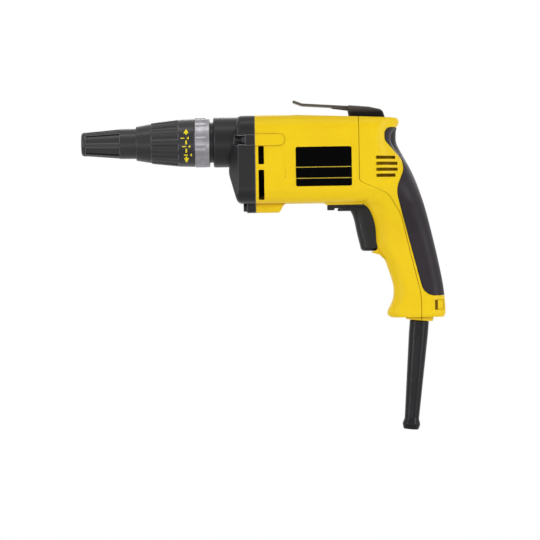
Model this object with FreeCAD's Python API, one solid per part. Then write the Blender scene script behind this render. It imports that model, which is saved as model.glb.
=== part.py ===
import FreeCAD
import Part
import math
import os

# Mains drywall screwdriver, built as separate pieces. Millimetres.
# +X runs from the nose tip to the back of the handle, +Z is up, the spindle line is the X axis.

V = FreeCAD.Vector

# Nose: cone, depth collar and locating ring, all round the spindle line
NOSE_TIP_R = 9.7
NOSE_MOUTH_R = 5.4
NOSE_ROUND = 2.6
NOSE_SHOULDER_R = 12.3
NOSE_FLUTED_LEN = 31.3
NOSE_SLEEVE_R = 12.5
NOSE_SLEEVE_SHOWN = 13.5
NOSE_WALL = 2.6
NOSE_PANELS = 6
NOSE_PANEL_DEG = 40.0
NOSE_PANEL_DEEP = 1.2
NOSE_TRAVEL = 4.0
COLLAR_LEN = 47.9
COLLAR_FRONT_R = 14.0
COLLAR_FRONT_LEN = 12.2
COLLAR_GRIP_LEN = 22.0
COLLAR_GRIP_R = 16.1
COLLAR_BAND_R = 19.3
COLLAR_REAR_R = 19.8
COLLAR_STEP = 0.8
COLLAR_FLUTES = 14
FLUTE_R = 5.0
FLUTE_DEEP = 1.1
RING_R = 20.2
RING_LEN = 12.0
RING_LIP = 3.2
RING_FLUTES = 12
RING_FLUTE_DEEP = 0.55
RING_HUB_LEN = 7.0
RING_GUIDE_LEN = 17.0

# Gear case
NECK_GAP = 2.9
NECK_R = 20.5
NECK_LEN = 12.6
CASE_DEPTH = 21.5
CASE_LEAN = 7.8
CASE_EDGE_R = 4.0
CASE_SIDE_LEN = 14.0
CASE_FACET_DEG = 60.0
SNOUT_R = 16.6
CASE_WALL = 3.0
LUG_HALF_W = 13.0
LUG_DROP = 7.3
LUG_DEPTH = 7.4
SCREW_HEAD_R = 3.3
SCREW_HEAD_H = 2.9
SCREW_SHANK_R = 2.0
SCREW_LEN = 20.0

# Gear pair and clutch
GEAR_MODULE = 0.75
PINION_TEETH = 8
GEAR_TEETH = 32
TOOTH_SHIFT = 0.5
BACKLASH = 0.12
GEAR_WIDTH = 6.0
DOGS = 3
DOG_DEG = 46.0
DOG_H = 1.8
DOG_GAP = 1.5
SPINDLE_R = 7.4
SPINDLE_FLANGE_R = 11.4
PILOT_R = 4.0
BIT_FLATS = 6.35
BIT_LEN = 25.0
BIT_RECESS = 0.8
HOLDER_R = 5.4
HOLDER_LEN = 45.0
SPRING_WIRE_R = 0.5
SPRING_TURNS = 3

# Motor and its housing
MOTOR_HALF_H = 35.8
MOTOR_HALF_W = 33.0
MOTOR_CORNER_R = 13.0
MOTOR_LEN = 84.0
MOTOR_SWELL = 0.8
SWELL_LEN = 25.0
FIELD_R = 29.5
FIELD_LEN = 36.0
FIELD_YOKE = 6.0
ARMATURE_R = 16.5
AIR_GAP = 0.6
SHAFT_R = 4.0
JOURNAL_R = 3.5
BEARING_R = 9.5
BEARING_LEN = 6.0
COMMUTATOR_R = 11.0
COMMUTATOR_LEN = 11.0
FAN_R = 26.5
FAN_BLADES = 12
BULKHEAD = 8.6

# Cover and handle
SHELL = 3.0
HANDLE_WALL = 5.6
GRIP_THICK = 2.6
BEAK_DROP = 11.3
COVER_ROUND = 30.0
HANDLE_DROP = 94.4
HANDLE_HALF_W = 17.0
HANDLE_FRONT_R = 11.5
HANDLE_REAR_R = 13.0
LATCH_LEN = 7.4
LATCH_H = 8.0
FOOT_R = 11.3
FOOT_H = 2.7
SLOTS = 4
SLOT_PITCH = 4.85
SLOT_H = 2.6

# Trigger and reversing lever
TRIGGER_HALF_W = 8.5
TRIGGER_TRAVEL = 7.0
TRIGGER_DROP = 38.6
LEVER_THICK = 2.5
LEVER_LEN = 34.0
LEVER_HALF_W = 4.5
PLUNGER_R = 3.0

# Belt clip
CLIP_SHEET = 1.8
CLIP_HALF_W = 9.0
CLIP_SADDLE_HALF_W = 12.0
CLIP_RISE = 7.8

# Cord protector
CORD_R = 3.9
PROTECTOR_TOP_R = 7.85
PROTECTOR_HEAD_R = 9.35
PROTECTOR_END_R = 5.9
PROTECTOR_FLARE_R = 7.3
PROTECTOR_LEN = 92.0
PROTECTOR_LEAN = 5.3

# Clearances
RUN = 0.05
SLIDE = 0.3
SEAT = 0.1
FIT = 0.03
SEAM = 0.06
GROOVE_W = 0.5
GROOVE_DEEP = 0.6
GRIP_GAP = 0.3

# Stations along the spindle line, from the nose tip back
collar_x0 = NOSE_FLUTED_LEN + NOSE_SLEEVE_SHOWN
collar_x1 = collar_x0 + COLLAR_LEN
ring_x0 = collar_x1 + SLIDE
ring_x1 = ring_x0 + RING_LEN
neck_x0 = ring_x1 + NECK_GAP
case_x0 = neck_x0 + NECK_LEN
seam_x = case_x0 + CASE_DEPTH
parting_x = seam_x + MOTOR_LEN

# Levels
gear_centres = GEAR_MODULE * (PINION_TEETH + GEAR_TEETH) / 2
motor_z = -gear_centres
top_z = motor_z + MOTOR_HALF_H
bottom_z = motor_z - MOTOR_HALF_H
beak_z = top_z - BEAK_DROP
handle_z = bottom_z - HANDLE_DROP


def rounded_wire(corners, place):
    """Closed wire through corners (u, v, radius); a radius rounds its corner with a tangent arc."""
    joints = []
    count = len(corners)
    for i in range(count):
        u, v, radius = corners[i]
        here = place(u, v)
        if radius == 0:
            joints.append((here, here, here))
            continue
        back = (place(*corners[i - 1][:2]) - here).normalize()
        ahead = (place(*corners[(i + 1) % count][:2]) - here).normalize()
        half = back.getAngle(ahead) / 2
        middle = (back + ahead).normalize()
        run = radius / math.tan(half)
        dip = radius / math.sin(half) - radius
        joints.append((here + back * run, here + middle * dip, here + ahead * run))
    edges = []
    for i in range(count):
        start, middle, end = joints[i]
        if (end - start).Length > 1e-6:
            edges.append(Part.Arc(start, middle, end).toShape())
        following = joints[(i + 1) % count][0]
        if (following - end).Length > 1e-6:
            edges.append(Part.makeLine(end, following))
    return Part.Wire(edges)


def slab(corners, y0, y1):
    """Side outline (x, z, radius) given thickness across the tool."""
    wire = rounded_wire(corners, lambda x, z: V(x, y0, z))
    return Part.Face(wire).extrude(V(0, y1 - y0, 0))


def prism(corners, x0, x1):
    """End outline (y, z, radius) carried along the tool."""
    wire = rounded_wire(corners, lambda y, z: V(x0, y, z))
    return Part.Face(wire).extrude(V(x1 - x0, 0, 0))


def plan(corners, z0, z1):
    """Plan outline (x, y, radius) carried upward."""
    wire = rounded_wire(corners, lambda x, y: V(x, y, z0))
    return Part.Face(wire).extrude(V(0, 0, z1 - z0))


def turned(corners, axis_z=0.0):
    """Profile (x, radius from the axis, rounding) turned about a line along X."""
    wire = rounded_wire(corners, lambda x, r: V(x, 0, axis_z + r))
    return Part.Face(wire).revolve(V(0, 0, axis_z), V(1, 0, 0), 360)


def rod(x0, x1, radius, y=0.0, z=0.0):
    return Part.makeCylinder(radius, x1 - x0, V(x0, y, z), V(1, 0, 0))


def tube(x0, x1, outer, inner, z=0.0):
    return rod(x0, x1, outer, 0, z).cut(rod(x0 - 1, x1 + 1, inner, 0, z))


def sector(x0, x1, inner, outer, middle_deg, width_deg, z=0.0):
    """Part of a ring: the angle is counted from +Z toward +Y."""
    face = Part.Face(Part.makePolygon([
        V(x0, 0, z + inner), V(x1, 0, z + inner), V(x1, 0, z + outer), V(x0, 0, z + outer),
        V(x0, 0, z + inner)]))
    start = face.rotate(V(0, 0, z), V(1, 0, 0), -(middle_deg - width_deg / 2))
    return start.revolve(V(0, 0, z), V(1, 0, 0), -width_deg)


def box(x0, x1, y0, y1, z0, z1):
    return Part.makeBox(x1 - x0, y1 - y0, z1 - z0, V(x0, y0, z0))


def hexagon(x0, x1, flats):
    reach = flats / math.sqrt(3)
    points = [V(x0, reach * math.cos(math.radians(60 * k)), reach * math.sin(math.radians(60 * k)))
              for k in range(7)]
    return Part.Face(Part.makePolygon(points)).extrude(V(x1 - x0, 0, 0))


def joined(shapes):
    whole = shapes[0]
    if len(shapes) > 1:
        whole = shapes[0].multiFuse(shapes[1:])
    return whole.removeSplitter()


def about_x(shape, count, z=0.0, first=0.0):
    """Copies of a shape spread evenly round a line along X."""
    copies = []
    for k in range(count):
        copy = shape.copy()
        copy.rotate(V(0, 0, z), V(1, 0, 0), first + 360.0 * k / count)
        copies.append(copy)
    return copies


def both_sides(shape):
    return [shape, shape.mirror(V(0, 0, 0), V(0, 1, 0))]


def arc_from(start, corner, end):
    """Arc that leaves start toward the corner and comes to end from it; both lie equally far from the corner."""
    chord = (start + end) * 0.5
    rise = corner - chord
    half = rise.getAngle(start - corner)
    bulge = (end - start).Length / 2 * math.tan((math.pi / 2 - (math.pi - half)) / 2)
    return Part.Arc(start, chord + rise.normalize() * bulge, end).toShape()


def coil(radius, length, turns, wire_r):
    """Round wire wound up the Z axis, each quarter turn a pair of tangent arcs."""
    rise = length / turns / (2 * math.pi)
    stations = []
    for k in range(4 * turns + 1):
        a = k * math.pi / 2
        stations.append((V(radius * math.cos(a), radius * math.sin(a), rise * a),
                         V(-radius * math.sin(a), radius * math.cos(a), rise).normalize()))
    edges = []
    for (start, leave), (end, arrive) in zip(stations, stations[1:]):
        span = end - start
        along = span.dot(leave + arrive)
        bend = 2 * (1 - leave.dot(arrive))
        reach = (math.sqrt(along * along + bend * span.dot(span)) - along) / bend
        first = start + leave * reach
        second = end - arrive * reach
        middle = (first + second) * 0.5
        edges += [arc_from(start, first, middle), arc_from(middle, second, end)]
    section = Part.Wire([Part.makeCircle(wire_r, *stations[0])])
    return Part.Wire(edges).makePipeShell([section], True, False)


def save(name, shape):
    shape.exportStep("parts/" + name + ".step")


# Nose

guide_r = NOSE_SLEEVE_R + SLIDE
hub_r = COLLAR_REAR_R - 1.7
hub_x0 = ring_x0 - RING_HUB_LEN
snout_x0 = hub_x0 + CASE_WALL
sleeve_x1 = snout_x0 - SLIDE - 2 * NOSE_TRAVEL
guide_x0 = hub_x0 - RING_GUIDE_LEN
retain_x = ring_x0 + RING_LEN * 0.45
collar_grip_x0 = collar_x0 + COLLAR_FRONT_LEN
collar_grip_x1 = collar_grip_x0 + COLLAR_GRIP_LEN
collar_slope = (COLLAR_BAND_R - FLUTE_DEEP - COLLAR_GRIP_R) / COLLAR_GRIP_LEN


def nose_cone():
    """Tapered nose with long sunk panels; its sleeve runs back inside the collar."""
    bore = NOSE_SLEEVE_R - NOSE_WALL - 1.5
    body = turned([
        (0, NOSE_MOUTH_R, 0.5), (0, NOSE_TIP_R - 0.1, NOSE_ROUND),
        (NOSE_FLUTED_LEN, NOSE_SHOULDER_R, 0), (collar_x0 - 1, NOSE_SLEEVE_R, 0),
        (sleeve_x1, NOSE_SLEEVE_R, 0.5), (sleeve_x1, bore, 0.5),
        (NOSE_MOUTH_R * 2.5, bore, 4), (NOSE_MOUTH_R * 1.3, NOSE_MOUTH_R, 2)])
    start = NOSE_ROUND + 1.3
    grow = (NOSE_SHOULDER_R - NOSE_TIP_R) / NOSE_FLUTED_LEN
    floor = Part.Face(Part.makePolygon([
        V(start, 0, NOSE_TIP_R + grow * start - NOSE_PANEL_DEEP),
        V(NOSE_FLUTED_LEN, 0, NOSE_SHOULDER_R - NOSE_PANEL_DEEP),
        V(NOSE_FLUTED_LEN, 0, NOSE_SHOULDER_R + 3), V(start, 0, NOSE_TIP_R + 3),
        V(start, 0, NOSE_TIP_R + grow * start - NOSE_PANEL_DEEP)]))
    panel = floor.revolve(V(0, 0, 0), V(1, 0, 0), NOSE_PANEL_DEG)
    return body.cut(about_x(panel, NOSE_PANELS, 0, 48))


def depth_collar():
    """Turned collar with a fluted band, hollow for the sleeve and for the ring's hub."""
    body = turned([
        (collar_x0, guide_r, 0.4), (collar_x0, COLLAR_FRONT_R, 0.8),
        (collar_grip_x0, COLLAR_GRIP_R, 0), (collar_grip_x0 + 1.0, COLLAR_GRIP_R + COLLAR_STEP, 0.6),
        (collar_grip_x1, COLLAR_BAND_R, 40), (collar_x1, COLLAR_REAR_R, 0.6), (collar_x1, hub_r + SLIDE, 0),
        (hub_x0 - SLIDE, hub_r + SLIDE, 0), (hub_x0 - SLIDE, hub_r - 2.4, 0),
        (guide_x0 - 2, hub_r - 2.4, 0), (guide_x0 - 2, guide_r, 0)])
    lean = math.atan(collar_slope)
    axis = V(math.cos(lean), 0, math.sin(lean))
    cutter = Part.makeCylinder(FLUTE_R, COLLAR_GRIP_LEN, V(collar_grip_x0, 0, COLLAR_GRIP_R + FLUTE_R), axis)
    return body.cut(about_x(cutter, COLLAR_FLUTES))


def locating_ring():
    """Ring that snaps on the snout; its hub carries the collar, its guide the nose sleeve."""
    bore = SNOUT_R + SLIDE
    body = turned([
        (guide_x0, guide_r, 0.3), (guide_x0, hub_r - 2.4 - SLIDE, 0.3),
        (hub_x0, hub_r - 2.4 - SLIDE, 0), (hub_x0, hub_r, 0.3), (ring_x0, hub_r, 0),
        (ring_x0, RING_R, 0.6), (ring_x1 - RING_LIP, RING_R, 0), (ring_x1, RING_R, 0.6),
        (ring_x1, bore, 0.4), (snout_x0 - SLIDE, bore, 0), (snout_x0 - SLIDE, guide_r, 0)])
    reach = 6.0
    cutter = rod(ring_x0 - 1, ring_x1 - RING_LIP, reach, 0, RING_R + reach - RING_FLUTE_DEEP)
    groove = tube(retain_x - 1.1, retain_x + 1.1, bore + 0.7, bore - 1)
    return body.cut(about_x(cutter, RING_FLUTES, 0, 15) + [groove])


def retaining_ring():
    """Split wire ring in the snout's groove."""
    wire_r = 0.8
    ring = Part.makeTorus(SNOUT_R - 0.3, wire_r, V(retain_x, 0, 0), V(1, 0, 0))
    return ring.cut(box(retain_x - 2, retain_x + 2, -2, 2, 0, SNOUT_R + 2))


# Spindle, clutch and gears

flange_x0 = case_x0 - 3.0
flange_x1 = flange_x0 + 3.7
gear_dog_x = flange_x1 + DOG_H + DOG_GAP
gear_x0 = gear_dog_x + DOG_H
gear_x1 = gear_x0 + GEAR_WIDTH
plate_x0 = gear_x1 + SLIDE
hub_x1 = plate_x0 + 2.6
bearing_x0 = seam_x - BEARING_LEN
spindle_x0 = BIT_RECESS + BIT_LEN * 0.5 + HOLDER_LEN + SLIDE
bush_r = SPINDLE_R + 2.6
bush_x1 = flange_x0 - SLIDE
push_travel = DOG_GAP + DOG_H - SEAT
spring_pocket_r = 7.4
gear_hub_r = 6.2
gear_bush_r = gear_hub_r + 1.6
dog_out_r = GEAR_MODULE * (GEAR_TEETH / 2 - 1.9)


def driver_bit():
    """Hexagonal insert bit with a cross point."""
    x0 = BIT_RECESS
    shank = hexagon(x0 + 8, x0 + BIT_LEN, BIT_FLATS)
    point = turned([(x0, 0, 0), (x0, 0.8, 0), (x0 + 3.8, 2.9, 0), (x0 + 8, 2.9, 0), (x0 + 8, 0, 0)])
    wing = 0.45
    notch = plan([(x0 - 2, wing, 0), (x0 + 5.5, wing + 1.6, 0), (x0 + 5.5, 6, 0), (x0 - 2, 6, 0)], wing, 6)
    return joined([point.cut(about_x(notch, 4)), shank])


def bit_holder():
    """Sleeve with a socket for the bit and a hexagonal tail for the spindle."""
    x0 = BIT_RECESS + BIT_LEN * 0.5
    x1 = x0 + HOLDER_LEN
    body = turned([(x0, 0, 0), (x0, HOLDER_R, 0.8), (x1, HOLDER_R, 0.4), (x1, 0, 0)])
    waist = tube(x0 + 12, x0 + 15, HOLDER_R + 1, HOLDER_R - 0.5)
    tail = hexagon(x1 - 1, x1 + 20, BIT_FLATS)
    socket = hexagon(x0 - 1, BIT_RECESS + BIT_LEN + SEAT, BIT_FLATS + 2 * RUN)
    return joined([body, tail]).cut([waist, socket])


def spindle():
    """Hollow drive spindle with a flange, its clutch dogs and a pilot in the gear."""
    body = turned([
        (spindle_x0, 0, 0), (spindle_x0, SPINDLE_R, 0.8), (flange_x0, SPINDLE_R, 0),
        (flange_x0, SPINDLE_FLANGE_R, 0.5), (flange_x1, SPINDLE_FLANGE_R, 0.5), (flange_x1, PILOT_R, 0),
        (hub_x1, PILOT_R, 0.4), (hub_x1, 0, 0)])
    dog = sector(flange_x1 - 1, flange_x1 + DOG_H, spring_pocket_r + 0.5, dog_out_r, 0, DOG_DEG)
    socket = hexagon(spindle_x0 - 1, spindle_x0 + 20 + SLIDE, BIT_FLATS + 2 * RUN)
    return joined([body] + about_x(dog, DOGS)).cut(socket)


def thrust_washer():
    return tube(flange_x1 + RUN, flange_x1 + 1.2, spring_pocket_r - SLIDE, PILOT_R + RUN)


def clutch_spring():
    """Coil between the washer and the floor of the gear's pocket."""
    x0 = flange_x1 + 1.2 + SPRING_WIRE_R + SEAT
    x1 = gear_x1 - 2.0 - SPRING_WIRE_R - SEAT
    radius = spring_pocket_r - 1.0 - SPRING_WIRE_R
    spring = coil(radius, x1 - x0, SPRING_TURNS, SPRING_WIRE_R)
    spring.rotate(V(0, 0, 0), V(0, 1, 0), 90)
    spring.translate(V(x0, 0, 0))
    return spring


def tooth_gap(teeth, shift, x0, x1, tip_r):
    """Space between two involute teeth, centred on +Z, for a shifted profile with backlash."""
    pitch_r = GEAR_MODULE * teeth / 2
    pressure = math.radians(20)
    base_r = pitch_r * math.cos(pressure)
    root_r = pitch_r + GEAR_MODULE * (shift - 1.25)
    thick = GEAR_MODULE * (math.pi / 2 + 2 * shift * math.tan(pressure)) - BACKLASH
    half_tooth = thick / (2 * pitch_r) + math.tan(pressure) - pressure
    start_r = max(base_r, root_r)
    flank = []
    for k in range(6):
        r = start_r + (tip_r + 0.1 - start_r) * k / 5
        roll = math.sqrt(max(r * r / base_r ** 2 - 1, 0))
        angle = math.pi / teeth - (half_tooth - (roll - math.atan(roll)))
        flank.append((r * math.sin(angle), r * math.cos(angle)))
    foot = min(flank[0][0], 0.9 * root_r * math.sin(math.pi / teeth))
    curve = Part.BSplineCurve()
    curve.interpolate([V(x0, y, z) for y, z in flank])
    other = Part.BSplineCurve()
    other.interpolate([V(x0, -y, z) for y, z in flank])
    y1, z1 = flank[0]
    y2, z2 = flank[-1]
    over = 1.4
    edges = [
        curve.toShape(), Part.makeLine(V(x0, y2, z2), V(x0, over * y2, over * z2)),
        Part.makeLine(V(x0, over * y2, over * z2), V(x0, -over * y2, over * z2)),
        Part.makeLine(V(x0, -over * y2, over * z2), V(x0, -y2, z2)), other.toShape(),
        Part.makeLine(V(x0, -y1, z1), V(x0, -foot, root_r)),
        Part.makeLine(V(x0, -foot, root_r), V(x0, foot, root_r)),
        Part.makeLine(V(x0, foot, root_r), V(x0, y1, z1))]
    return Part.Face(Part.Wire(Part.__sortEdges__(edges))).extrude(V(x1 - x0, 0, 0))


pinion_tip_r = GEAR_MODULE * (PINION_TEETH / 2 + TOOTH_SHIFT + 0.8)
gear_tip_r = GEAR_MODULE * (GEAR_TEETH / 2 - TOOTH_SHIFT + 0.95)


def clutch_gear():
    """Spur gear that turns on the spindle's pilot, with dogs toward the spindle's flange."""
    blank = rod(gear_x0, gear_x1, gear_tip_r)
    gap = tooth_gap(GEAR_TEETH, -TOOTH_SHIFT, gear_x0 - 1, gear_x1 + 1, gear_tip_r)
    gap.rotate(V(0, 0, 0), V(1, 0, 0), 180)
    wheel = blank.cut(about_x(gap, GEAR_TEETH))
    hub = rod(gear_x1 - 1, hub_x1 - SLIDE, gear_hub_r)
    dog = sector(gear_dog_x, gear_x0 + 1, spring_pocket_r + 0.5, dog_out_r, 60, DOG_DEG)
    bore = rod(gear_x0 - 5, hub_x1 + 1, PILOT_R + RUN)
    pocket = rod(gear_x0 - 5, gear_x1 - 2.0, spring_pocket_r)
    return joined([wheel, hub] + about_x(dog, DOGS)).cut([bore, pocket])


def spindle_bush():
    return tube(snout_x0 + 1, bush_x1, bush_r, SPINDLE_R + RUN)


def gear_bush():
    return tube(plate_x0, hub_x1, gear_bush_r, gear_hub_r + RUN)


# Motor

fan_x0 = seam_x + 2.0
fan_x1 = fan_x0 + 9.0
baffle_x0 = fan_x1 + 1.2
field_x0 = baffle_x0 + 8.0
field_x1 = field_x0 + FIELD_LEN
bulkhead_x0 = parting_x - SEAM / 2 - BULKHEAD
commutator_x1 = bulkhead_x0 - 1.2
commutator_x0 = commutator_x1 - COMMUTATOR_LEN
brush_x = (commutator_x0 + commutator_x1) / 2
rear_bearing_x0 = bulkhead_x0 + 1.5
field_bore_r = ARMATURE_R + AIR_GAP
yoke_in_r = FIELD_R - FIELD_YOKE
pole_deg = 92.0
coil_deg = 146.0


def armature_shaft():
    """Motor shaft stepped for its bearings, with the pinion cut on its front end."""
    pinion_x0 = gear_x0 - 0.3
    pinion_x1 = gear_x1 + 0.2
    body = turned([
        (pinion_x1, 0, 0), (pinion_x1, JOURNAL_R, 0), (seam_x + 1, JOURNAL_R, 0), (seam_x + 1, SHAFT_R, 0),
        (bulkhead_x0, SHAFT_R, 0), (bulkhead_x0, JOURNAL_R, 0),
        (rear_bearing_x0 + BEARING_LEN, JOURNAL_R, 0), (rear_bearing_x0 + BEARING_LEN, 0, 0)], motor_z)
    blank = rod(pinion_x0, pinion_x1, pinion_tip_r, 0, motor_z)
    gap = tooth_gap(PINION_TEETH, TOOTH_SHIFT, pinion_x0 - 1, pinion_x1 + 1, pinion_tip_r)
    gap.translate(V(0, 0, motor_z))
    gaps = about_x(gap, PINION_TEETH, motor_z, 180.0 / PINION_TEETH)
    return joined([blank.cut(gaps), body])


def armature_core():
    """Laminated core with open winding slots."""
    core = tube(field_x0, field_x1, ARMATURE_R, SHAFT_R, motor_z)
    slot = box(field_x0 - 1, field_x1 + 1, -0.9, 0.9, motor_z + ARMATURE_R - 5.5, motor_z + ARMATURE_R + 1)
    return core.cut(about_x(slot, 12, motor_z))


def armature_windings():
    """Rounded end turns at both ends of the core."""
    outer = ARMATURE_R - 1.5
    front = turned([
        (field_x0 - 7, SHAFT_R + 2, 1.5), (field_x0 - 7, outer, 3), (field_x0, outer, 0),
        (field_x0, SHAFT_R + 2, 0)], motor_z)
    rear_end = commutator_x0 - 0.5
    rear = turned([
        (field_x1, SHAFT_R + 2, 0), (field_x1, outer, 0), (rear_end, outer - 3, 2),
        (rear_end, SHAFT_R + 2, 0.3)], motor_z)
    return Part.makeCompound([front, rear])


def commutator():
    ring = tube(commutator_x0, commutator_x1, COMMUTATOR_R, SHAFT_R, motor_z)
    split = box(commutator_x0 + 1.5, commutator_x1 + 1, -0.25, 0.25, motor_z + COMMUTATOR_R - 1,
                motor_z + COMMUTATOR_R + 1)
    return ring.cut(about_x(split, 24, motor_z))


def cooling_fan():
    """Radial fan: hub, back plate and blades."""
    hub = tube(fan_x0, fan_x1, SHAFT_R + 4, SHAFT_R, motor_z)
    disc = tube(fan_x1 - 1.5, fan_x1, FAN_R, SHAFT_R + 3, motor_z)
    blade = box(fan_x0 + 0.2, fan_x1 - 1, -0.7, 0.7, motor_z + SHAFT_R + 3, motor_z + FAN_R - 0.3)
    return joined([hub, disc] + about_x(blade, FAN_BLADES, motor_z))


def fan_baffle():
    return tube(baffle_x0, baffle_x0 + 1.5, FIELD_R, field_bore_r + 1, motor_z)


def field_core():
    """Laminated yoke with two poles above and below the armature."""
    yoke = tube(field_x0, field_x1, FIELD_R, yoke_in_r, motor_z)
    pole = sector(field_x0, field_x1, field_bore_r, yoke_in_r + 1, 0, pole_deg, motor_z)
    return joined([yoke] + about_x(pole, 2, motor_z))


def field_coils():
    """Two coils, each a saddle round its pole."""
    over = 6.0
    gap = 0.4
    inner = field_bore_r + 1
    whole = sector(field_x0 - over, field_x1 + over, inner, yoke_in_r - SLIDE, 0, coil_deg, motor_z)
    window = sector(field_x0 - gap, field_x1 + gap, inner - 2, yoke_in_r + 1, 0, pole_deg + 2, motor_z)
    return Part.makeCompound(about_x(whole.cut(window), 2, motor_z))


brush_half = 3.0
brush_in = COMMUTATOR_R + 0.3
brush_out = brush_in + 9.0
holder_in = COMMUTATOR_R + 2.5
holder_out = yoke_in_r + 2.5


def brush_holders():
    """Square brass tubes beside the commutator, closed by a cap at the outer end."""
    wall = 1.0
    half = brush_half + wall
    body = box(brush_x - half, bulkhead_x0, holder_in, holder_out, motor_z - half, motor_z + half)
    hollow = box(brush_x - brush_half - RUN, brush_x + brush_half + RUN, holder_in - 1, holder_out - 1.2,
                 motor_z - brush_half - RUN, motor_z + brush_half + RUN)
    return Part.makeCompound(both_sides(body.cut(hollow)))


def carbon_brushes():
    block = box(brush_x - brush_half, brush_x + brush_half, brush_in, brush_out,
                motor_z - brush_half, motor_z + brush_half)
    return Part.makeCompound(both_sides(block))


def brush_springs():
    """Small coils that press the brushes inward."""
    spring = coil(1.9, holder_out - 1.2 - brush_out - 0.6, 2, 0.25)
    spring.rotate(V(0, 0, 0), V(1, 0, 0), -90)
    spring.translate(V(brush_x, brush_out + 0.3, motor_z))
    return Part.makeCompound(both_sides(spring))


def bearing(x0):
    """Ball bearing drawn as one ring with its shield grooves."""
    ring = tube(x0, x0 + BEARING_LEN, BEARING_R, JOURNAL_R + RUN, motor_z)
    groove = tube(x0 - 1, x0 + 0.5, BEARING_R - 1.8, JOURNAL_R + 1.6, motor_z)
    return ring.cut(groove)


# Housing outlines shared by the gear case, the motor housing and the cover

def end_outline(inset, swell):
    """Rounded square seen from the front, shrunk by an inset and widened by a swell."""
    half_w = MOTOR_HALF_W + swell - inset
    high = top_z - inset
    low = bottom_z + inset
    r = MOTOR_CORNER_R - inset
    return [(-half_w, low, r), (half_w, low, r), (half_w, high, r), (-half_w, high, r)]


def barrel(inset):
    """Motor body carried back past the cover, a little swollen over the fan."""
    stations = [(seam_x, MOTOR_SWELL), (seam_x + SWELL_LEN - 4, MOTOR_SWELL), (seam_x + SWELL_LEN + 8, 0),
                (parting_x + 90, 0)]
    wires = []
    for x, swell in stations:
        wires.append(rounded_wire(end_outline(inset, swell), lambda y, z, at=x: V(at, y, z)))
    return Part.makeLoft(wires, True, True)


def level(z, front, rear, half_w, front_r, rear_r):
    """Horizontal section of the handle or the cover."""
    return rounded_wire([(front, -half_w, front_r), (rear, -half_w, rear_r), (rear, half_w, rear_r),
                         (front, half_w, front_r)], lambda x, y: V(x, y, z))


# Back of the cover: level above the housing's underside, reach behind the parting plane
COVER_BACK = [(-12, 6.0), (-2, 20.0), (6, 30.0), (14, 37.0), (24, 40.5), (34, 37.0), (43, 29.5), (50, 26.3),
              (56, 27.4), (61, 31.5), (66, 33.3), (75, 33.3)]

# Handle: level above the housing's underside, front and rear behind the parting plane,
# half width beyond that of the grip, which swells to meet the sides of the motor
HANDLE_LEVELS = [
    (-94.4, 25.8, 67.6, 0.0), (-90.5, 22.0, 69.2, 0.8), (-84, 24.7, 69.1, 0.5), (-76, 27.2, 68.5, 0.0),
    (-66, 26.6, 67.2, -0.2), (-55, 23.2, 65.2, -0.2), (-46, 19.6, 63.4, 0.0), (-40, 15.4, 62.1, 0.3),
    (-23, 12.9, 58.2, 2.4), (-9, 9.6, 54.7, 6.6), (-5, 7.4, 53.6, 8.6), (-2, 4.0, 52.7, 10.4),
    (1.2, -1.0, 51.7, 12.2), (6, -3.0, 50.1, 14.2), (15, -3.0, 46.9, 15.6), (24, -2.0, 43.2, 12.0),
    (37.5, 0, 36.2, 5.5), (44.3, 2.0, 32.6, 2.6), (47.3, 2.6, 31.3, 1.6), (50.5, 3.0, 30.7, 1.0),
    (55, 3.0, 30.8, 0.6)]


def cover_body(inset):
    """Barrel with its rounded back, sloping a little at the top."""
    half_w = MOTOR_HALF_W + 0.6 - inset
    x0 = seam_x - 20
    levels = []
    for up, reach in COVER_BACK:
        round_r = max(min(COVER_ROUND, reach - 9.5), 5)
        levels.append(level(bottom_z + up, x0, parting_x + reach - inset, half_w, 1, round_r - inset))
    back = Part.makeLoft(levels, True, False)
    rear = parting_x + 33.3 - inset
    slope_x = parting_x - 54
    side = slab([
        (x0, bottom_z - 11, 0), (rear + 20, bottom_z - 11, 0), (rear + 20, beak_z, 0), (rear, beak_z, 0),
        (rear, top_z - 3.8 - inset, 4.0), (slope_x, top_z - inset, 0), (slope_x, top_z + 2, 0),
        (x0, top_z + 2, 0)], -60, 60)
    return barrel(inset).common(back.common(side))


def handle_body(inset):
    """Handle and the spine that carries it up the back of the motor."""
    levels = []
    for up, front, rear, swell in HANDLE_LEVELS:
        x0 = parting_x + front + inset
        x1 = parting_x + rear - inset
        half_w = HANDLE_HALF_W + swell - inset
        front_r = HANDLE_FRONT_R + 0.6 * swell - inset
        rear_r = HANDLE_REAR_R + 0.7 * swell - inset
        levels.append(level(bottom_z + up, x0, x1, half_w, front_r, rear_r))
    levels.append(level(beak_z, x0, x1 + 1.2, half_w, front_r, rear_r))
    return Part.makeLoft(levels, True, False)


def behind_parting(gap):
    """Everything behind the line where the cover meets the motor housing."""
    far = parting_x + 150
    return slab([
        (parting_x + gap, top_z + 40, 0), (parting_x + gap, bottom_z + 16.8, 4),
        (parting_x + 23 + gap, bottom_z + 6.8, 16), (parting_x + 33.5 + gap, bottom_z - 10.4, 30),
        (parting_x + 49.2 + gap, bottom_z - 76.4, 40), (parting_x + 49.2 + gap, handle_z - 30, 0),
        (far, handle_z - 30, 0), (far, top_z + 40, 0)], -80, 80)


def behind_grip(gap):
    """Everything behind the edge of the rubber grip."""
    far = parting_x + 150
    return slab([
        (far, beak_z - gap, 0), (parting_x + 20.8 + gap, beak_z - gap, 5.4),
        (parting_x + 20.8 + gap, beak_z - 10.6, 5.0), (parting_x + 38.2 + gap, bottom_z + 30.6, 14.0),
        (parting_x + 29.3 + gap, bottom_z + 9.7, 20.0), (parting_x + 51.7 + gap, bottom_z - 76.9 + gap, 11.0),
        (far, bottom_z - 76.9 + gap, 0)], -80, 80)


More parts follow.
